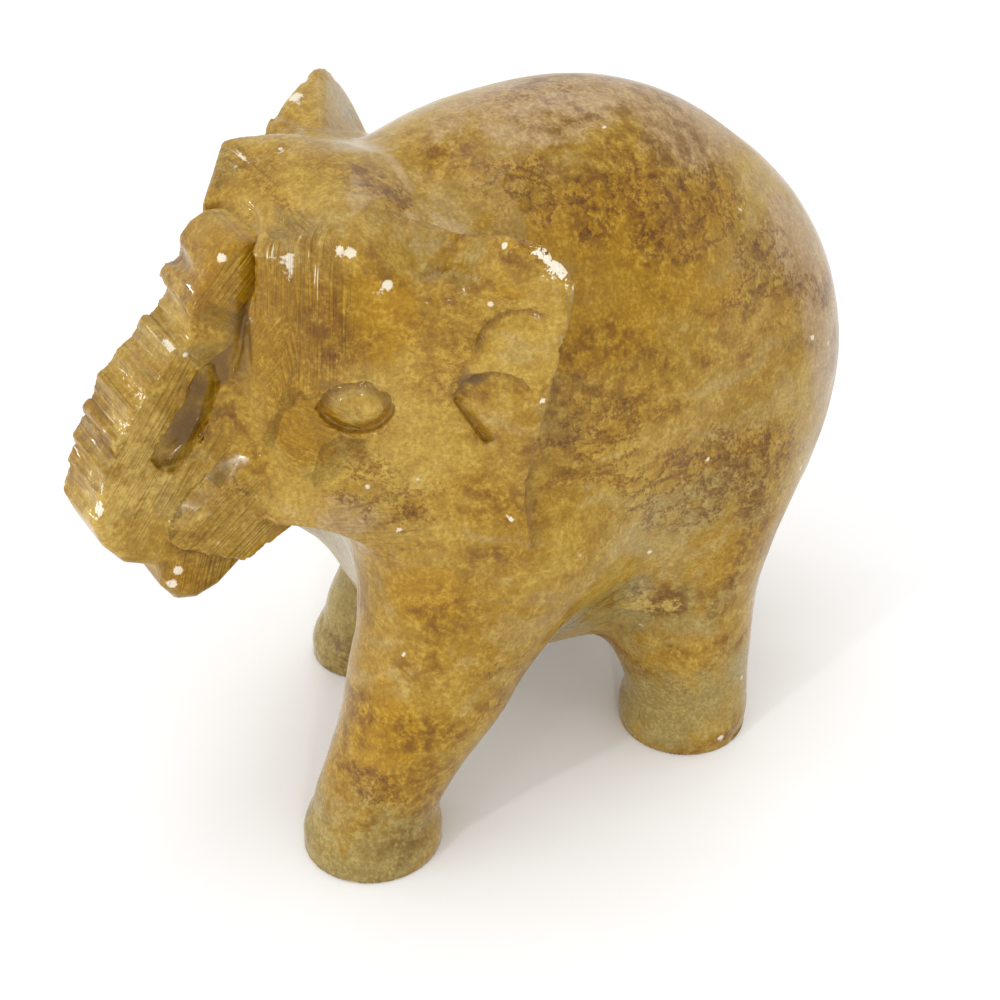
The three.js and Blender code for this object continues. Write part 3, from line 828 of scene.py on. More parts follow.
PATCHES: dict[Tone, tuple[Patch, ...]] = {
    Tone.GOLD: (
        Patch((18.5, -20.3, 83.5), (6, 7, 6), 1.3), Patch((11.5, -28.5, 80), (7, 7, 10), 1.25),
        Patch((13.6, -28, 68), (4, 6, 7)), Patch((16, -24, 63.5), (3, 6, 3), 0.8),
        Patch((5, -33, 86.5), (4, 6, 6), 1.2), Patch((5.3, -47, 70), (3, 4, 5), 0.6),
        Patch((5.3, -52, 58), (3, 4, 6), 0.4), Patch((5.7, -43, 44), (4, 5, 3), 0.7),
        Patch((22, -15.5, 43), (7, 6, 5), 1.1), Patch((24.5, -24, 23), (5, 7, 9), 0.8),
        Patch((18, 13, 87), (7, 11, 5), 1.25), Patch((22, 18, 80.8), (6, 13, 7), 1.2),
        Patch((23, 28, 74), (5, 8, 5), 0.5), Patch((17, 29, 84), (7, 10, 4), 0.7),
        Patch((23, 5, 80), (5, 5, 7), 0.7), Patch((27, -6, 88), (3, 4, 3), 0.5),
        Patch((-20, 12, 82), (8, 16, 8), 0.9), Patch((-15, -24, 74), (6, 8, 12), 0.8),
        Patch((-20, 8, 40), (8, 12, 8), 0.6), Patch((24, 10, 74.5), (5, 8, 5), 1.1),
    ),
    Tone.RUST: (
        Patch((18, 14, 88.5), (8, 12, 4), 0.6), Patch((18, 28, 84), (8, 12, 5), 0.95),
        Patch((21, 39, 75), (7, 10, 5), 0.75), Patch((12, 2, 93), (6, 9, 3), 0.6),
        Patch((10, -14, 94), (6, 6, 3), 0.45), Patch((27, 7, 60), (5, 9, 9), 0.5),
        Patch((25, -24, 14), (5, 8, 4), 0.4), Patch((27, -10, 31), (4, 6, 4), 0.5),
        Patch((-22, 24, 76), (6, 16, 4), 0.8), Patch((-25, 10, 58), (6, 14, 4), 0.6),
        Patch((27, 26, 48), (6, 18, 10), 0.6), Patch((19, -20, 58), (6, 8, 5), 0.45),
    ),
    Tone.PINK: (
        Patch((2, 16, 98), (12, 24, 6), 0.8), Patch((4, 35, 92), (14, 14, 9)),
        Patch((19, 51, 60), (9, 9, 14), 0.9), Patch((16, 47, 73), (9, 9, 9), 0.8),
        Patch((-14, 44, 74), (12, 14, 16), 0.7), Patch((0, 60, 50), (14, 8, 20), 0.5),
        Patch((15, -23, 54), (8, 8, 4), 0.6),
    ),
    # Grey: grey stone, and painted shade on the chest between the front legs and inside the far ear
    Tone.GREY: (
        Patch((-2, -16, 36), (18, 8, 14)), Patch((-24, -2, 89), (5, 3, 6), 0.7),
        Patch((27, -22, 31), (5, 6, 4), 0.5), Patch((-6, -22, 92), (7, 6, 4), 0.4),
    ),
    # Olive: olive-grey stone low on the legs, and painted shade under the belly, in the hollow by the near
    # ear and inside the far ear
    Tone.OLIVE: (
        Patch((20, -11, 88), (7, 6, 6), 0.45), Patch((22, -28, 4), (13, 12, 10), 0.8),
        Patch((-17, -5, 6), (13, 13, 15)), Patch((21, 27, 8), (13, 13, 15), 0.9),
        Patch((-18, 34, 8), (13, 13, 15)), Patch((0, 14, 11), (18, 34, 9), 0.8),
        Patch((20, 26, 24), (10, 12, 13), 0.75), Patch((20, 12, 29), (10, 12, 8), 0.8),
        Patch((27, 24, 44), (5, 18, 8), 0.55), Patch((-26, -4, 82), (5, 7, 7), 0.8),
    ),
    # Painted shade: in the hollow by the ear, the trunk's slot and channel, the eye's cut, under the jaw and
    # under the belly
    Tone.DARK: (
        Patch((22, -12, 84), (5, 5, 7), 0.42), Patch((2, -40, 68), (3, 5, 8), 0.8),
        Patch((6.8, -33.5, 78), (2, 3, 9), 0.9), Patch((-2, -40, 68), (3, 5, 8), 0.8),
        Patch((23, 19, 20), (4, 3, 6), 0.5), Patch((14.8, -25.2, 73.3), (2.2, 2.5, 1.3), 0.75),
        Patch((17.6, -22.5, 67.8), (2.6, 2.8, 0.9), 0.75), Patch((24.8, -10.3, 74.4), (2.2, 2.8, 1.5), 0.7),
        Patch((5.6, -32, 79.5), (2, 2.2, 4), 0.9), Patch((5.6, -35.5, 74.5), (2, 2.6, 4), 0.9),
        Patch((5.4, -38.5, 70), (2, 2.6, 4), 0.8), Patch((20, -16, 50), (4, 6, 2), 0.4),
        Patch((14, 20, 22), (9, 14, 6), 0.45), Patch((-14, 14, 26), (10, 18, 8), 0.4),
        Patch((27, -8, 58), (3, 3, 9), 0.35),
    ),
    # Pale: paler stone, and a painted reflection on the trunk's side
    Tone.PALE: (
        Patch((25.5, 17, 27), (4, 7, 3), 0.8), Patch((6, -48, 66), (3, 7, 12), 0.75),
        Patch((5.5, -52, 56), (3, 5, 8), 0.6), Patch((8, -38, 56), (4, 6, 7), 0.45),
        Patch((23, 18, 87), (5, 6, 4), 0.4),
    ),
    # Where pale dust and painted glints gather on edges and file strokes
    Tone.DUST_AND_GLINT: (
        Patch((18.5, -20.5, 90), (4, 5, 5)), Patch((12, -28, 88), (6, 6, 7), 0.9),
        Patch((30.5, -3, 92), (2.5, 9, 5)), Patch((1, -37, 85), (4.5, 3.5, 5)),
        Patch((6, -47, 72), (2.5, 7, 8), 0.9), Patch((6, -53, 60), (2.5, 4, 7), 0.8),
        Patch((8, -43, 45), (8, 8, 6), 0.5), Patch((-4, -24, 94), (8, 4, 3), 0.7),
        Patch((-24, -5, 93), (6, 8, 5), 0.6), Patch((26, 26, 3), (8, 12, 4), 0.6),
        Patch((-18, -5, 6), (10, 12, 5), 0.4),
    ),
}


@dataclass(frozen=True)
class Chip:
    """A small pale spot, partly a chip knocked from the stone and partly a painted glint: its middle and its
    size in carving units.
    """

    at: Triple
    size: float
    soft: tuple[float, float] = (0.217, 0.837)

    def mask(self, p: Array) -> Array:
        """How strongly the chip shows at each point."""
        away = np.linalg.norm(p - np.array(self.at), axis=1) / self.size
        return 1 - smooth_step(*self.soft, away)


# Pale spots at listed places: chips and painted glints on the brow, trunk, ear rims, tusks and flanks
CHIPS_AND_GLINTS: tuple[Chip, ...] = (
    Chip((-11.7, -24.3, 93.9), 1.8), Chip((-8.7, -23.9, 94.1), 1.3), Chip((-5.8, -20.3, 95.4), 1.2),
    Chip((1.1, -34.1, 89.4), 1.6), Chip((4.7, -33.9, 89.0), 1.3), Chip((5.3, -31.4, 88.0), 1.1),
    Chip((3.7, -39.5, 79.2), 1.4), Chip((4.2, -41.3, 77.9), 1.0), Chip((3.3, -43.0, 75.7), 1.2),
    Chip((0.9, -48.8, 69.3), 1.5), Chip((-2.3, -51.7, 64.5), 1.3), Chip((9.2, -29.3, 89.3), 1.1),
    Chip((11.1, -27.7, 90.3), 1.2), Chip((14.3, -25.0, 91.0), 1.3), Chip((15.9, -23.3, 92.4), 1.3),
    Chip((16.7, -22.4, 92.3), 1.5), Chip((19.3, -18.8, 87.9), 1.4), Chip((25.9, -6.3, 92.9), 1.0),
    Chip((27.8, -5.3, 89.9), 1.3), Chip((28.7, -4.0, 89.4), 1.0), Chip((29.4, -2.8, 91.3), 1.2),
    Chip((30.2, -1.1, 89.5), 1.1), Chip((30.7, 0.3, 87.6), 0.9), Chip((16.1, -24.1, 77.5), 0.9),
    Chip((12.0, -29.2, 71.5), 1.0), Chip((5.6, -44.0, 45.5), 1.3), Chip((5.2, -44.8, 43.5), 1.5),
    Chip((8.1, -41.4, 52.7), 1.2), Chip((8.3, -40.3, 53.7), 0.9), Chip((29.4, -2.8, 71.6), 0.9),
    Chip((28.1, -6.7, 53.7), 1.0), Chip((-23.0, -9.2, 92.9), 2.2), Chip((9.0, 19.0, 94.7), 0.8),
    Chip((16.2, 35.8, 81.7), 0.9), Chip((21.7, 45.9, 61.1), 1.0), Chip((27.4, 24.9, 51.8), 0.8),
    Chip((23.8, -20.7, 34.1), 0.9), Chip((21.4, -19.3, 52.7), 0.9), Chip((30.3, 28.2, 2.3), 1.2),
)


@dataclass(frozen=True)
class StrokeZone:
    """Where file strokes show: a middle, a reach, their direction and depth, and the flat they lie on."""

    at: Triple
    reach: Triple
    along: Triple
    depth: float
    flat: Plane = CHEEK
    soft: tuple[float, float] = (0.75, 1.15)

    def weight(self, p: Array) -> Array:
        """How much the zone holds at each point."""
        away = np.sqrt((((p - np.array(self.at)) / np.array(self.reach)) ** 2).sum(1))
        return self.depth * (1 - smooth_step(*self.soft, away))


STROKES: tuple[StrokeZone, ...] = (
    StrokeZone((12.5, -27, 84), (7, 7, 12), (0.05, 0, 1), 2.0, FACE),
    StrokeZone((14.5, -27.5, 66), (5, 7, 6), (0.45, 0.75, -0.45), 1.2),
    StrokeZone((18, -20, 54), (6, 9, 5), (0.5, 0.84, 0.15), 1.0),
    StrokeZone((5.3, -45, 66), (2.5, 9, 16), (0, -0.6, -0.8), 0.9),
    StrokeZone((4, -33, 86), (4, 6, 6), (0, -0.7, -0.7), 0.7),
    StrokeZone((8, -38, 53), (4, 8, 8), (0.2, -0.8, -0.55), 1.2),
    StrokeZone((5, -41, 44), (4, 7, 4), (0.2, -0.4, -0.9), 1.3),
    StrokeZone((10, -18, 42), (12, 6, 10), (0.35, -0.2, 1), 0.7),
    StrokeZone((20, -4, 50), (8, 8, 8), (0.1, 0.9, -0.4), 0.35),
)


@dataclass(frozen=True)
class Marks:
    """Notes on a mesh where its edges, cuts, soles, tones and file strokes are, in carving units."""

    sole: float = 0.6
    inward: float = 0.8
    edge_drop: float = 0.26
    edge_from: float = 0.2
    outward: float = 1.1
    groove_rise: float = 0.45
    groove_from: float = 0.15
    bedding: tuple[Triple, Triple, Triple] = ((0.045, 0.0, 0.01), (0.0, 0.034, -0.006), (0.0, 0.016, 0.11))
    fold_size: float = 19.0
    fold_depth: float = 6.5
    band_scale: float = 1.6
    sweep_size: float = 26.0
    wear_size: float = 14.0
    mottle_size: float = 9.0
    stroke_gap_mm: float = 40.0

    def note(self, mesh: bpy.types.Mesh, distance: Field) -> None:
        """Keep the masks on the mesh's points.

        Args:
            mesh: The mesh that keeps them.
            distance: Distance from the solid, negative inside it.
        """
        flat = np.zeros(len(mesh.vertices) * 3, np.float32)
        mesh.vertices.foreach_get("co", flat)
        p = flat.reshape(-1, 3).astype(float) * 1000 / MM + np.array([0, MIDDLE, 0])
        n = slope(distance, p)
        n /= np.linalg.norm(n, axis=1, keepdims=True) + 1e-9
        edge = (distance(*(p - n * self.inward).T) + self.inward) / self.edge_drop
        groove = (self.outward - distance(*(p + n * self.outward).T)) / self.groove_rise
        sole = (p[:, 2] < self.sole).astype(float)
        low, high = Drift(3), Drift(11)
        folds = np.stack([Drift(20 + k).clouds(p / self.fold_size, 3) for k in range(3)], 1)
        bedding = (p + self.fold_depth * folds) @ np.array(self.bedding).T
        mottle = high.clouds(p / self.mottle_size, 4, 0.6)
        masks = {
            "edge": np.clip(edge - self.edge_from, 0, 1) * (1 - sole),
            "groove": np.clip(groove - self.groove_from, 0, 1) * (1 - sole),
            "sole": sole,
            "sweep": low.clouds(p / self.sweep_size, 3),
            "bands": low.clouds(bedding * self.band_scale, 4, 0.6),
            "wear": np.clip(0.5 + high.clouds(p / self.wear_size, 3), 0, 1),
            "chip_and_glint": np.maximum.reduce([chip_and_glint.mask(p) for chip_and_glint in CHIPS_AND_GLINTS]),
        }
        for tone, spots in PATCHES.items():
            patches = np.maximum.reduce([spot.mask(p) for spot in spots])
            masks[tone.value] = patches * (1 + 0.35 * mottle) + 0.10 * mottle * (patches > 0.01)
        for name, values in masks.items():
            kept = mesh.attributes.new(name, "FLOAT", "POINT")
            kept.data.foreach_set("value", values.astype(np.float32))
        for name, values in (("layers", bedding), ("stroke", self.strokes(p))):
            kept = mesh.attributes.new(name, "FLOAT_VECTOR", "POINT")
            kept.data.foreach_set("vector", values.astype(np.float32).ravel())

    def strokes(self, p: Array) -> Array:
        """Where file strokes run: millimetres across them, along them, and their depth, at each point.

        Args:
            p: The points in carving units, one to a row.

        Returns:
            Three numbers to a row, all 0 where no stroke runs.
        """
        kept = np.zeros((len(p), 3))
        sides = p.copy()
        sides[:, 0] = np.abs(sides[:, 0])
        for number, zone in enumerate(STROKES):
            weight = zone.weight(sides)
            along = np.array(Vector(zone.along).normalized())
            across = np.cross(np.array(zone.flat.facing), along)
            across /= np.linalg.norm(across)
            start = self.stroke_gap_mm * number
            values = np.stack([sides @ across * MM + start, sides @ along * MM, weight], 1)
            wins = weight > kept[:, 2]
            kept[wins] = values[wins]
        return kept


# Shader nodes

class Wire:
    """A node's output socket that takes part in Python expressions."""

    def __init__(self, bench: NodeBench, socket: bpy.types.NodeSocket) -> None:
        """Wrap a socket of a bench's tree."""
        self.bench = bench
        self.socket = socket

    def _maths(self, operation: str, *values: Any) -> Wire:
        """Add one Math node."""
        inputs = {i: v for i, v in enumerate(values)}
        return self.bench.node("ShaderNodeMath", {"operation": operation}, inputs)

    def __add__(self, other: Any) -> Wire:
        """Sum."""
        return self._maths("ADD", self, other)

    __radd__ = __add__

    def __sub__(self, other: Any) -> Wire:
        """Difference."""
        return self._maths("SUBTRACT", self, other)

    def __rsub__(self, other: Any) -> Wire:
        """Difference with the wire on the right."""
        return self._maths("SUBTRACT", other, self)

    def __mul__(self, other: Any) -> Wire:
        """Product."""
        return self._maths("MULTIPLY", self, other)

    __rmul__ = __mul__

    def __truediv__(self, other: Any) -> Wire:
        """Quotient."""
        return self._maths("DIVIDE", self, other)

    def __rtruediv__(self, other: Any) -> Wire:
        """Quotient with the wire below the line."""
        return self._maths("DIVIDE", other, self)

    def __pow__(self, other: Any) -> Wire:
        """Power."""
        return self._maths("POWER", self, other)

    def __abs__(self) -> Wire:
        """Size without sign."""
        return self._maths("ABSOLUTE", self)

    def ease(self, low: float, high: float) -> Wire:
        """Ease from 0 at `low` to 1 at `high`.

        Args:
            low: The value that gives 0.
            high: The value that gives 1.

        Returns:
            The eased value.
        """
        return self.bench.node(
            "ShaderNodeMapRange", {"interpolation_type": "SMOOTHSTEP"},
            {"Value": self, "From Min": low, "From Max": high})

    def largest(self, other: Any) -> Wire:
        """The larger of two values."""
        return self._maths("MAXIMUM", self, other)


@dataclass
class NodeBench:
    """Builds nodes in one tree."""

    tree: bpy.types.NodeTree

    def place(self, kind: str, settings: dict[str, Any] | None = None,
              inputs: dict[str | int, Any] | None = None) -> bpy.types.Node:
        """Add a node to the tree.

        Args:
            kind: The node's type.
            settings: Its own settings, made before its sockets are filled.
            inputs: Values or wires by socket name or number.

        Returns:
            The node.
        """
        made = self.tree.nodes.new(kind)
        for name, value in (settings or {}).items():
            setattr(made, name, value)
        for key, value in (inputs or {}).items():
            socket = made.inputs[key]
            if isinstance(value, Wire):
                self.tree.links.new(value.socket, socket)
            else:
                socket.default_value = value
        return made

    def node(self, kind: str, settings: dict[str, Any] | None = None,
             inputs: dict[str | int, Any] | None = None, output: str | int = 0) -> Wire:
        """Add a node as `place` does and take one of its outputs, by name or number, as a wire."""
        return Wire(self, self.place(kind, settings, inputs).outputs[output])

    def mask(self, name: str) -> Wire:
        """The value of a mask kept on the mesh."""
        return self.node("ShaderNodeAttribute", {"attribute_name": name}, output="Fac")

    def noise(self, at: Wire, scale: float, detail: float = 2.0, rough: float = 0.5) -> Wire:
        """Soft noise between 0 and 1 at a place."""
        inputs = {"Vector": at, "Scale": scale, "Detail": detail, "Roughness": rough}
        return self.node("ShaderNodeTexNoise", {}, inputs, "Fac")

    def cells(self, at: Wire, scale: float, feature: str) -> Wire:
        """Distance in a pattern of cells: from their middles (F1) or from their edges."""
        inputs = {"Vector": at, "Scale": scale}
        return self.node("ShaderNodeTexVoronoi", {"feature": feature}, inputs, "Distance")

    def blend(self, share: Wire | float, a: Wire | Triple, b: Triple, how: str = "MIX") -> Wire:
        """Lay a colour over another by a share.

        Args:
            share: How much the upper colour covers.
            a: The colour below.
            b: The colour laid over it.
            how: The way in which they mix.

        Returns:
            The mixed colour.
        """
        under = a if isinstance(a, Wire) else (*a, 1.0)
        settings = {"data_type": "RGBA", "blend_type": how}
        return self.node("ShaderNodeMix", settings, {0: share, 6: under, 7: (*b, 1.0)}, 2)


@dataclass
class StoneMaps:
    """The noises, marks and masks that the stone's tones are worked out from."""

    bench: NodeBench

    def __post_init__(self) -> None:
        """Lay out the wires."""
        bench = self.bench
        place = bench.node("ShaderNodeTexCoord", output="Object")
        self.mm = bench.node("ShaderNodeVectorMath", {"operation": "SCALE"}, {0: place, "Scale": 1000.0})
        self.grain = bench.noise(self.mm, scale=0.62, detail=5.0, rough=0.68)
        self.sand = bench.noise(self.mm, scale=2.4, detail=2.0, rough=0.7)
        layers = bench.node("ShaderNodeAttribute", {"attribute_name": "layers"}, output="Vector")
        self.fine = bench.noise(layers, scale=3.2, detail=4.0, rough=0.7)
        self.ragged = 0.9 * (self.fine - 0.5) + 1.1 * (self.grain - 0.5)
        self.sweep, self.bands = bench.mask("sweep"), bench.mask("bands")
        self.edge, self.wear = bench.mask("edge"), bench.mask("wear")
        stroke = bench.node("ShaderNodeAttribute", {"attribute_name": "stroke"}, output="Vector")
        parts = bench.place("ShaderNodeSeparateXYZ", {}, {0: stroke})
        across, along, self.depth = (Wire(bench, out) for out in parts.outputs)
        lane = bench.node("ShaderNodeCombineXYZ", {}, {"X": across * 1.5, "Y": along * 0.08})
        self.ridges = (abs(bench.noise(lane, scale=1.0, detail=2.0) - 0.5) * 5.0).ease(0.0, 1.0)

    def scratches(self) -> Wire:
        """Fine scratches that mostly run one way, from 0 to 1.

        Returns:
            How strong they are.
        """
        lane = self.bench.node(
            "ShaderNodeMapping", {"vector_type": "POINT"},
            {"Vector": self.mm, "Rotation": (0.5, 0.3, 0.9), "Scale": (0.9, 0.05, 0.9)})
        return (1 - abs(self.bench.noise(lane, scale=1.0, detail=0.0) - 0.5) * 26.0).ease(0.0, 1.0)

    def seams(self) -> Wire:
        """Thin wandering seams between the stone's lumps, from 0 to 1.

        Returns:
            How strong they are.
        """
        drift = self.bench.node(
            "ShaderNodeCombineXYZ", {}, {"X": self.fine * 5.0, "Y": self.grain * 9.0, "Z": self.fine * -4.0})
        moved = self.bench.node("ShaderNodeVectorMath", {"operation": "ADD"}, {0: self.mm, 1: drift})
        cells = self.bench.cells(moved, 0.42, "DISTANCE_TO_EDGE")
        return 1 - (cells + (self.sand - 0.5) * 0.25).ease(0.0, 0.15)


@dataclass(frozen=True)
class StoneFinish:
    """Waxed golden-brown stone: its tones as linear colours, painted shade and painted glints among them, and
    its gloss.
    """

    ochre: Triple = (0.37, 0.215, 0.014)
    honey: Triple = (0.44, 0.285, 0.045)
    gold: Triple = (0.375, 0.20, 0.0005)
    rust: Triple = (0.20, 0.085, 0.005)
    shade: Triple = (0.50, 0.38, 0.12)
    pink: Triple = (0.43, 0.29, 0.145)
    # grey and olive are stone tones that also serve as painted shade in hollows and under the body
    grey: Triple = (0.40, 0.335, 0.20)
    olive: Triple = (0.31, 0.24, 0.080)
    # painted shade, laid in hollows, cuts and under the body
    painted_shade: Triple = (0.13, 0.065, 0.014)
    # pale: paler stone and specks, and a painted reflection on the trunk's side
    pale: Triple = (0.58, 0.41, 0.10)
    # pale marks: dust and chips, and painted glints on edges, strokes and ridges
    bruise_and_glint: Triple = (0.80, 0.74, 0.60)
    sheen: float = 0.10
    coat_roughness: float = 0.09
    coat_ior: float = 1.55
    translucency: float = 0.10
    depth_m: float = 0.0012
    relief_m: float = 0.00035

    def material(self) -> bpy.types.Material:
        """Build the stone's material.

        Returns:
            The material, reading Object coordinates and the masks kept on the mesh.
        """
        made = bpy.data.materials.new("golden_brown_stone")
        made.use_nodes = True
        made.node_tree.nodes.clear()
        bench = NodeBench(made.node_tree)
        maps = StoneMaps(bench)
        bruise_and_glint = self.bruises_and_glints(maps)
        tone = self.clouds(maps, self.veins(maps, self.ground(maps)))
        height = (0.80 * maps.ridges * maps.depth + 0.26 * maps.grain + 0.04 * maps.sand
                  - 0.08 * maps.scratches())
        bump = {"Strength": 0.65, "Distance": self.relief_m, "Height": height}
        shader = bench.node("ShaderNodeBsdfPrincipled", {}, {
            "Base Color": bench.blend(bruise_and_glint * 0.9, tone, self.bruise_and_glint),
            "Roughness": 0.24 + 0.14 * maps.wear + 0.30 * bruise_and_glint + 0.12 * maps.grain.ease(0.45, 0.75),
            "Coat Weight": (0.46 - 0.18 * maps.wear) * (1 - bruise_and_glint),
            "Normal": bench.node("ShaderNodeBump", {}, bump, "Normal"),
            "IOR": 1.5, "Specular IOR Level": self.sheen,
            "Coat Roughness": self.coat_roughness, "Coat IOR": self.coat_ior,
            "Subsurface Weight": self.translucency, "Subsurface Scale": self.depth_m,
            "Subsurface Radius": (1.0, 0.55, 0.2),
        })
        bench.place("ShaderNodeOutputMaterial", {}, {"Surface": shader})
        return made

    def ground(self, maps: StoneMaps) -> Wire:
        """Ochre and honey in sweeps and bands, with the patches of other tones over them.

        Args:
            maps: The stone's noises and masks.

        Returns:
            The colour.
        """
        bench, ragged = maps.bench, maps.ragged
        tone = bench.blend((maps.sweep + ragged).ease(-0.25, 0.55), self.ochre, self.honey)
        tone = bench.blend((maps.bands + ragged).ease(0.15, 0.5) * 0.45, tone, self.gold)
        tone = bench.blend((ragged - maps.bands).ease(0.2, 0.6) * 0.2, tone, self.grey)
        # The grey and olive patches also lay painted shade, and the pale patches a painted reflection on the
        # trunk's side
        for layer, over, low, high, most in (
            (Tone.PINK, self.pink, 0.25, 0.75, 0.85), (Tone.GREY, self.grey, 0.25, 0.75, 0.9),
            (Tone.OLIVE, self.olive, 0.25, 0.75, 0.85), (Tone.GOLD, self.gold, 0.28, 0.62, 0.95),
            (Tone.PALE, self.pale, 0.35, 0.70, 0.7),
        ):
            share = (bench.mask(layer.value) + ragged * 0.9).ease(low, high) * most
            tone = bench.blend(share, tone, over)
        return tone

    def veins(self, maps: StoneMaps, tone: Wire) -> Wire:
        """Rust along the seams and in clouds, laid over a tone.

        Args:
            maps: The stone's noises and masks.
            tone: The colour below.

        Returns:
            The colour.
        """
        rusty = maps.bench.mask(Tone.RUST.value)
        along = maps.seams() * (rusty * 1.2 + 0.45 * maps.bands + maps.ragged * 0.6).ease(0.0, 0.6)
        tone = maps.bench.blend(along * 0.85, tone, self.rust)
        return maps.bench.blend((rusty + maps.ragged * 1.5).ease(0.5, 1.1) * 0.28, tone, self.rust)

    def clouds(self, maps: StoneMaps, tone: Wire) -> Wire:
        """Darker clouds, grains and cuts, paler specks, and painted shade in hollows and under the body, laid
        over a tone.

        Args:
            maps: The stone's noises and masks.
            tone: The colour below.

        Returns:
            The colour.
        """
        bench, grain, sand = maps.bench, maps.grain, maps.sand
        cloudy = 0.32 + 0.70 * (maps.bands - maps.sweep).ease(-0.2, 0.8)
        for share in ((1 - grain.ease(0.34, 0.62)) * cloudy, (1 - sand.ease(0.30, 0.64)) * 0.46,
                      (1 - maps.ridges) * maps.depth * 0.25):
            tone = bench.blend(share, tone, self.shade, "MULTIPLY")
        tone = bench.blend((grain * 0.5 + sand * 0.5).ease(0.50, 0.70) * 0.34, tone, self.pale)
        # Darker in the cuts: patina in the hollows and painted shade
        cut = (bench.mask("groove") + maps.ragged * 1.1).ease(0.45, 1.15) * 0.6
        tone = bench.blend(cut, tone, self.rust)
        # Painted shade in hollows, the slot, the eye's cut and under the body
        painted_shade_share = (bench.mask(Tone.DARK.value) + maps.ragged * 0.7).ease(0.35, 0.85) * 0.85
        return bench.blend(painted_shade_share, tone, self.painted_shade)

    @staticmethod
    def bruises_and_glints(maps: StoneMaps) -> Wire:
        """Where pale marks lie: dust and painted glints on edges and strokes, chips with painted glints, and
        small dots.

        Args:
            maps: The stone's noises and masks.

        Returns:
            How strongly the pale marks and painted glints show.
        """
        bench, ragged, edge = maps.bench, maps.ragged, maps.edge
        dust_and_glint_zone = bench.mask(Tone.DUST_AND_GLINT.value)
        coarse = edge * dust_and_glint_zone * 0.68 + ragged * 1.3 + (maps.sand - 0.5) * 1.2
        dust_and_glint = coarse.ease(0.66, 0.78) * edge.ease(0.25, 0.5)
        # White streaks along the file strokes: dust and painted glints
        streaks = (maps.ridges ** 3.0 * maps.depth * dust_and_glint_zone * 0.6 + ragged * 0.8).ease(0.6, 0.95) * 0.7
        dots = (1 - bench.cells(maps.mm, 0.22, "F1").ease(0.04, 0.08)) * (maps.sweep + ragged).ease(0.1, 0.25)
        # Pale spots at the listed places: chips and painted glints
        chips = (bench.mask("chip_and_glint") + ragged * 0.6 + (maps.sand - 0.5) * 0.9).ease(0.45, 0.75) * 0.85
        return dust_and_glint.largest(dots * 0.8).largest(streaks).largest(chips)


# Hand-worked relief

@dataclass(frozen=True)
class HandWork:
    """Geometry Nodes tree that wavers the surface as hand work does and chips its edges."""

    wave_depth: float = 0.00014
    wave_length: float = 0.0052
    chip_depth: float = 0.00055
    chip_size: float = 0.0016
    seed: int = 7

    def tree(self) -> bpy.types.NodeTree:
        """Build the tree with its named inputs.

        Returns:
            The tree.
        """
        tree = bpy.data.node_groups.new("hand_work", "GeometryNodeTree")
        face = tree.interface
        face.new_socket("Geometry", in_out="INPUT", socket_type="NodeSocketGeometry")
        for name, kind in (("Wave depth", "Float"), ("Wave length", "Float"), ("Chip depth", "Float"),
                           ("Chip size", "Float"), ("Seed", "Int"), ("Stone", "Material")):
            face.new_socket(name, in_out="INPUT", socket_type=f"NodeSocket{kind}")
        face.new_socket("Geometry", in_out="OUTPUT", socket_type="NodeSocketGeometry")
        bench = NodeBench(tree)
        start = bench.place("NodeGroupInput")
        given = {socket.name: Wire(bench, socket) for socket in start.outputs if socket.name}
        place = bench.node("GeometryNodeInputPosition")
        normal = bench.node("GeometryNodeInputNormal")
        edge = bench.node("GeometryNodeInputNamedAttribute", {"data_type": "FLOAT"}, {"Name": "edge"})
        sole = bench.node("GeometryNodeInputNamedAttribute", {"data_type": "FLOAT"}, {"Name": "sole"})
        waves = bench.node("ShaderNodeTexNoise", {"noise_dimensions": "4D"}, {
            "Vector": place, "W": given["Seed"] * 1.7, "Scale": 1 / given["Wave length"], "Detail": 2.0})
        bites = bench.node("ShaderNodeTexNoise", {"noise_dimensions": "4D"}, {
            "Vector": place, "W": given["Seed"] * 3.1, "Scale": 1 / given["Chip size"], "Detail": 3.0})
        bitten = bench.node("ShaderNodeMapRange", {}, {"Value": bites, "From Min": 0.5, "From Max": 0.72})
        exposed = bench.node("ShaderNodeMapRange", {}, {"Value": edge, "From Min": 0.15, "From Max": 0.6})
        chips = bitten * exposed
        move = ((waves - 0.5) * given["Wave depth"] * 2.0 - chips * given["Chip depth"]) * (1 - sole)
        offset = bench.node("ShaderNodeVectorMath", {"operation": "SCALE"}, {0: normal, "Scale": move})
        shaped = bench.node("GeometryNodeSetPosition", {}, {"Geometry": given["Geometry"], "Offset": offset})
        solid = bench.node("GeometryNodeRealizeInstances", {}, {0: shaped})
        dressed = bench.node("GeometryNodeSetMaterial", {}, {"Geometry": solid, "Material": given["Stone"]})
        bench.place("NodeGroupOutput", {}, {0: dressed})
        return tree

    def work(self, piece: bpy.types.Object, stone: bpy.types.Material) -> None:
        """Run the tree on a piece and keep the result as its plain mesh.

        Args:
            piece: The piece to work over.
            stone: The material that it gets.
        """
        tree = self.tree()
        tool = piece.modifiers.new("hand_work", "NODES")
        tool.node_group = tree
        values = {
            "Wave depth": self.wave_depth, "Wave length": self.wave_length, "Chip depth": self.chip_depth,
            "Chip size": self.chip_size, "Seed": self.seed, "Stone": stone,
        }
        for item in tree.interface.items_tree:
            if item.item_type == "SOCKET" and item.in_out == "INPUT" and item.name in values:
                tool[item.identifier] = values[item.name]
        keep_evaluated(piece)


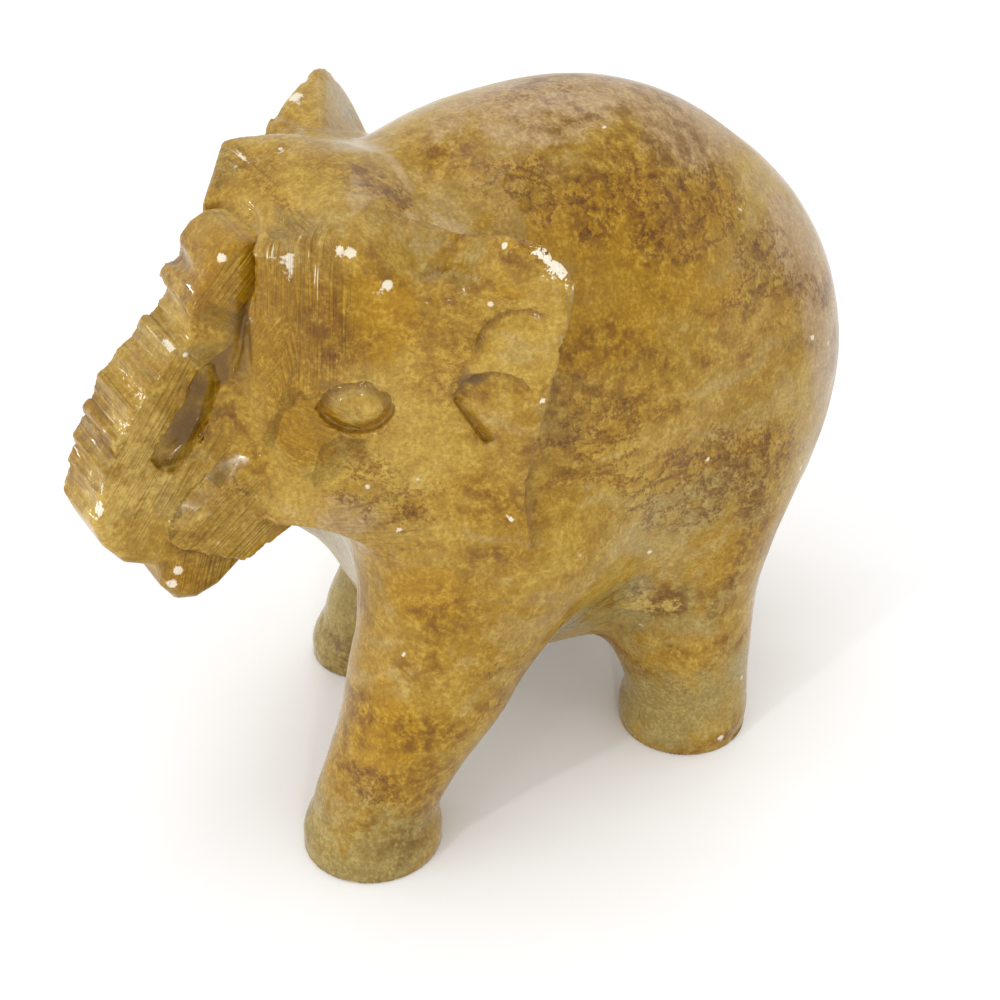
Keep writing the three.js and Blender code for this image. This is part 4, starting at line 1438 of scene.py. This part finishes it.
def keep_evaluated(piece: bpy.types.Object) -> None:
    """Turn what a piece's modifiers make into its plain mesh.

    Args:
        piece: The piece, which loses its modifiers.
    """
    graph = bpy.context.evaluated_depsgraph_get()
    mesh = bpy.data.meshes.new_from_object(
        piece.evaluated_get(graph), preserve_all_data_layers=True, depsgraph=graph)
    piece.modifiers.clear()
    old, piece.data = piece.data, mesh
    name = old.name
    bpy.data.meshes.remove(old)
    mesh.name = name


# The figurine

@dataclass
class Elephant:
    """The whole carving: its parts, how they join, how it is drawn and its finish."""

    torso: Torso = Torso()
    legs: tuple[Leg, ...] = (
        Leg(sole=(20.1, -24.4), radii=(9.5, 9.8), top=7, rim=5, ankle=8.2,
            knee=(18.8, -13.9, 24.6, 10.2), hip=(17, 0, 42.4, 13)),
        Leg(sole=(-17.8, -3.2), radii=(8.8, 10.2), top=7, rim=5, ankle=7.9,
            knee=(-17, 4.8, 21, 8.8), hip=(-13.5, 9.5, 42, 11)),
        Leg(sole=(20.8, 27.9), radii=(9.5, 9.3), top=6, rim=3.5, ankle=9,
            knee=(19.6, 28, 17, 9.1), hip=(14.6, 31.6, 39.6, 14)),
        Leg(sole=(-18.8, 34), radii=(9.2, 9.4), top=6, rim=3.5, ankle=8.7,
            knee=(-18, 33, 18, 8.8), hip=(-14, 31.5, 39.5, 13.8)),
    )
    leg_blend: float = 11.0
    head: Head = Head()
    head_back: float = 12.0
    head_low: float = 30.0
    jaw_blend: tuple[float, float] = (2.5, 9.0)
    jaw_span: tuple[float, float] = (50.0, 62.0)
    sole_edge: float = 0.6
    triangles: int = 190000
    draughtsman: Draughtsman = Draughtsman()
    marks: Marks = Marks()
    hand: HandWork = HandWork()
    finish: StoneFinish = StoneFinish()

    def distance(self, x: Array, y: Array, z: Array) -> Array:
        """Distance of points from the whole carving, negative inside the stone.

        Args:
            x: Places across the carving.
            y: Places along it, the rump being positive.
            z: Heights.

        Returns:
            Distances in carving units.
        """
        d = self.torso.distance(x, y, z)
        d = join(d, np.minimum.reduce([leg.distance(x, y, z) for leg in self.legs]), self.leg_blend)
        near = (y < self.head_back) & (z > self.head_low)
        hx, hy, hz = x[near], y[near], z[near]
        above, below = self.jaw_blend
        width = below + (above - below) * smooth_step(*self.jaw_span, hz)
        d[near] = join(d[near], self.head.distance(hx, hy, hz), width)
        return overlap(d, -z, self.sole_edge)

    def shape(self) -> bpy.types.Object:
        """Draw the surface and thin it to the number of triangles wanted.

        Returns:
            The piece, in metres, with no finish yet.
        """
        points, triangles = self.draughtsman.draw(self.distance)
        flat = np.abs(points[:, 2]) < 0.4 * self.draughtsman.cell
        points[flat, 2] = 0
        rounds, least_slope, longest = 2, 0.2, 0.25
        for _ in range(rounds):
            away = self.distance(points[:, 0], points[:, 1], points[:, 2])
            n = slope(self.distance, points)
            size = np.maximum((n * n).sum(1), least_slope)
            step = np.clip(away / size, -longest, longest)[:, None] * n
            step[flat] = 0
            points -= step
        points[:, 2] = np.maximum(points[:, 2], 0)
        LOG.info("surface of %d triangles drawn", len(triangles))
        mesh = bpy.data.meshes.new("carved_elephant")
        metres = (points - np.array([0, MIDDLE, 0])) * MM / 1000
        mesh.from_pydata(metres.tolist(), [], triangles.tolist())
        piece = bpy.data.objects.new("carved_elephant", mesh)
        bpy.context.scene.collection.objects.link(piece)
        if len(triangles) > self.triangles:
            thin = piece.modifiers.new("thin", "DECIMATE")
            thin.ratio = self.triangles / len(triangles)
            keep_evaluated(piece)
        return piece

    def make(self) -> bpy.types.Object:
        """Shape, work over and dress the carving, and set it on the frame.

        Returns:
            The finished piece.
        """
        piece = self.shape()
        self.marks.note(piece.data, self.distance)
        self.hand.work(piece, self.finish.material())
        piece.data.polygons.foreach_set("use_smooth", np.ones(len(piece.data.polygons), bool))
        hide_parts("elephant")
        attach(piece, "root")
        return piece


# Studio

@dataclass(frozen=True)
class Lamp:
    """A square soft light: where it stands, where it points, its size in metres and its power."""

    name: str
    at: Triple
    to: Triple
    size: float
    power: float

    def set_up(self) -> None:
        """Hang the light."""
        data = bpy.data.lights.new(self.name, "AREA")
        data.shape = "SQUARE"
        data.size = self.size
        data.energy = self.power
        lamp = bpy.data.objects.new(self.name, data)
        bpy.context.scene.collection.objects.link(lamp)
        lamp.location = self.at
        lamp.rotation_euler = (Vector(self.to) - Vector(self.at)).to_track_quat("-Z", "Y").to_euler()


@dataclass(frozen=True)
class Studio:
    """Pale floor, soft lights all round and the camera at the photograph's angle."""

    azimuth: float = 59.0
    elevation: float = 35.6
    distance: float = 0.25133
    target: Triple = (0.0, 0.003733, 0.02513)
    lens: float = 84.456
    sky: float = 1.0
    floor_tone: Triple = (0.93, 0.93, 0.93)
    floor_half: float = 3.0
    lamps: tuple[Lamp, ...] = (
        Lamp("top", (-0.05, 0.10, 0.60), (0, 0, 0.03), 0.30, 0.35),
        Lamp("front", (0.16, -0.50, 0.42), (0, -0.01, 0.04), 0.03, 0.5),
        Lamp("side", (0.50, -0.22, 0.30), (0, -0.01, 0.04), 0.05, 0.40),
        Lamp("low front", (0.25, -0.50, 0.13), (0, -0.02, 0.05), 0.03, 0.22),
        Lamp("right", (-0.42, -0.42, 0.15), (0, -0.02, 0.05), 0.04, 0.30),
        Lamp("fill", (-0.12, -0.62, 0.16), (0, -0.02, 0.04), 0.45, 0.55),
        Lamp("back", (-0.30, 0.35, 0.45), (0, 0.01, 0.05), 0.20, 0.2),
    )

    def camera(self) -> None:
        """Set the camera where the photograph was taken from."""
        a, e = math.radians(self.azimuth), math.radians(self.elevation)
        back = Vector((math.sin(a) * math.cos(e), -math.cos(a) * math.cos(e), math.sin(e)))
        data = bpy.data.cameras.new("camera")
        data.lens = self.lens
        data.sensor_width = 36.0
        data.clip_start, data.clip_end = 0.01, 20.0
        camera = bpy.data.objects.new("camera", data)
        bpy.context.scene.collection.objects.link(camera)
        camera.location = Vector(self.target) + back * self.distance
        camera.rotation_euler = (-back).to_track_quat("-Z", "Y").to_euler()
        bpy.context.scene.camera = camera

    def floor(self) -> None:
        """Lay the floor at the soles' level."""
        mesh = bpy.data.meshes.new("floor")
        r = self.floor_half
        mesh.from_pydata([(-r, -r, 0), (r, -r, 0), (r, r, 0), (-r, r, 0)], [], [(0, 1, 2, 3)])
        floor = bpy.data.objects.new("floor", mesh)
        bpy.context.scene.collection.objects.link(floor)
        pale = bpy.data.materials.new("pale_floor")
        pale.use_nodes = True
        shader = pale.node_tree.nodes["Principled BSDF"]
        shader.inputs["Base Color"].default_value = (*self.floor_tone, 1.0)
        shader.inputs["Roughness"].default_value = 0.6
        mesh.materials.append(pale)

    def set_up(self) -> None:
        """Build the studio."""
        world = bpy.data.worlds.new("studio")
        bpy.context.scene.world = world
        world.use_nodes = True
        sky = world.node_tree.nodes["Background"]
        sky.inputs["Color"].default_value = (1, 1, 1, 1)
        sky.inputs["Strength"].default_value = self.sky
        bpy.context.scene.view_settings.view_transform = "Standard"
        self.floor()
        for lamp in self.lamps:
            lamp.set_up()
        self.camera()


def main() -> None:
    """Import the model, build the studio and the carving, and log the carving's counts of vertices and faces.
    """
    logging.basicConfig(level=logging.INFO, format="%(name)s: %(message)s")
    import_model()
    Studio().set_up()
    piece = Elephant().make()
    LOG.info("%s: %d vertices, %d faces", piece.name, len(piece.data.vertices), len(piece.data.polygons))


if __name__ == "__main__":
    main()
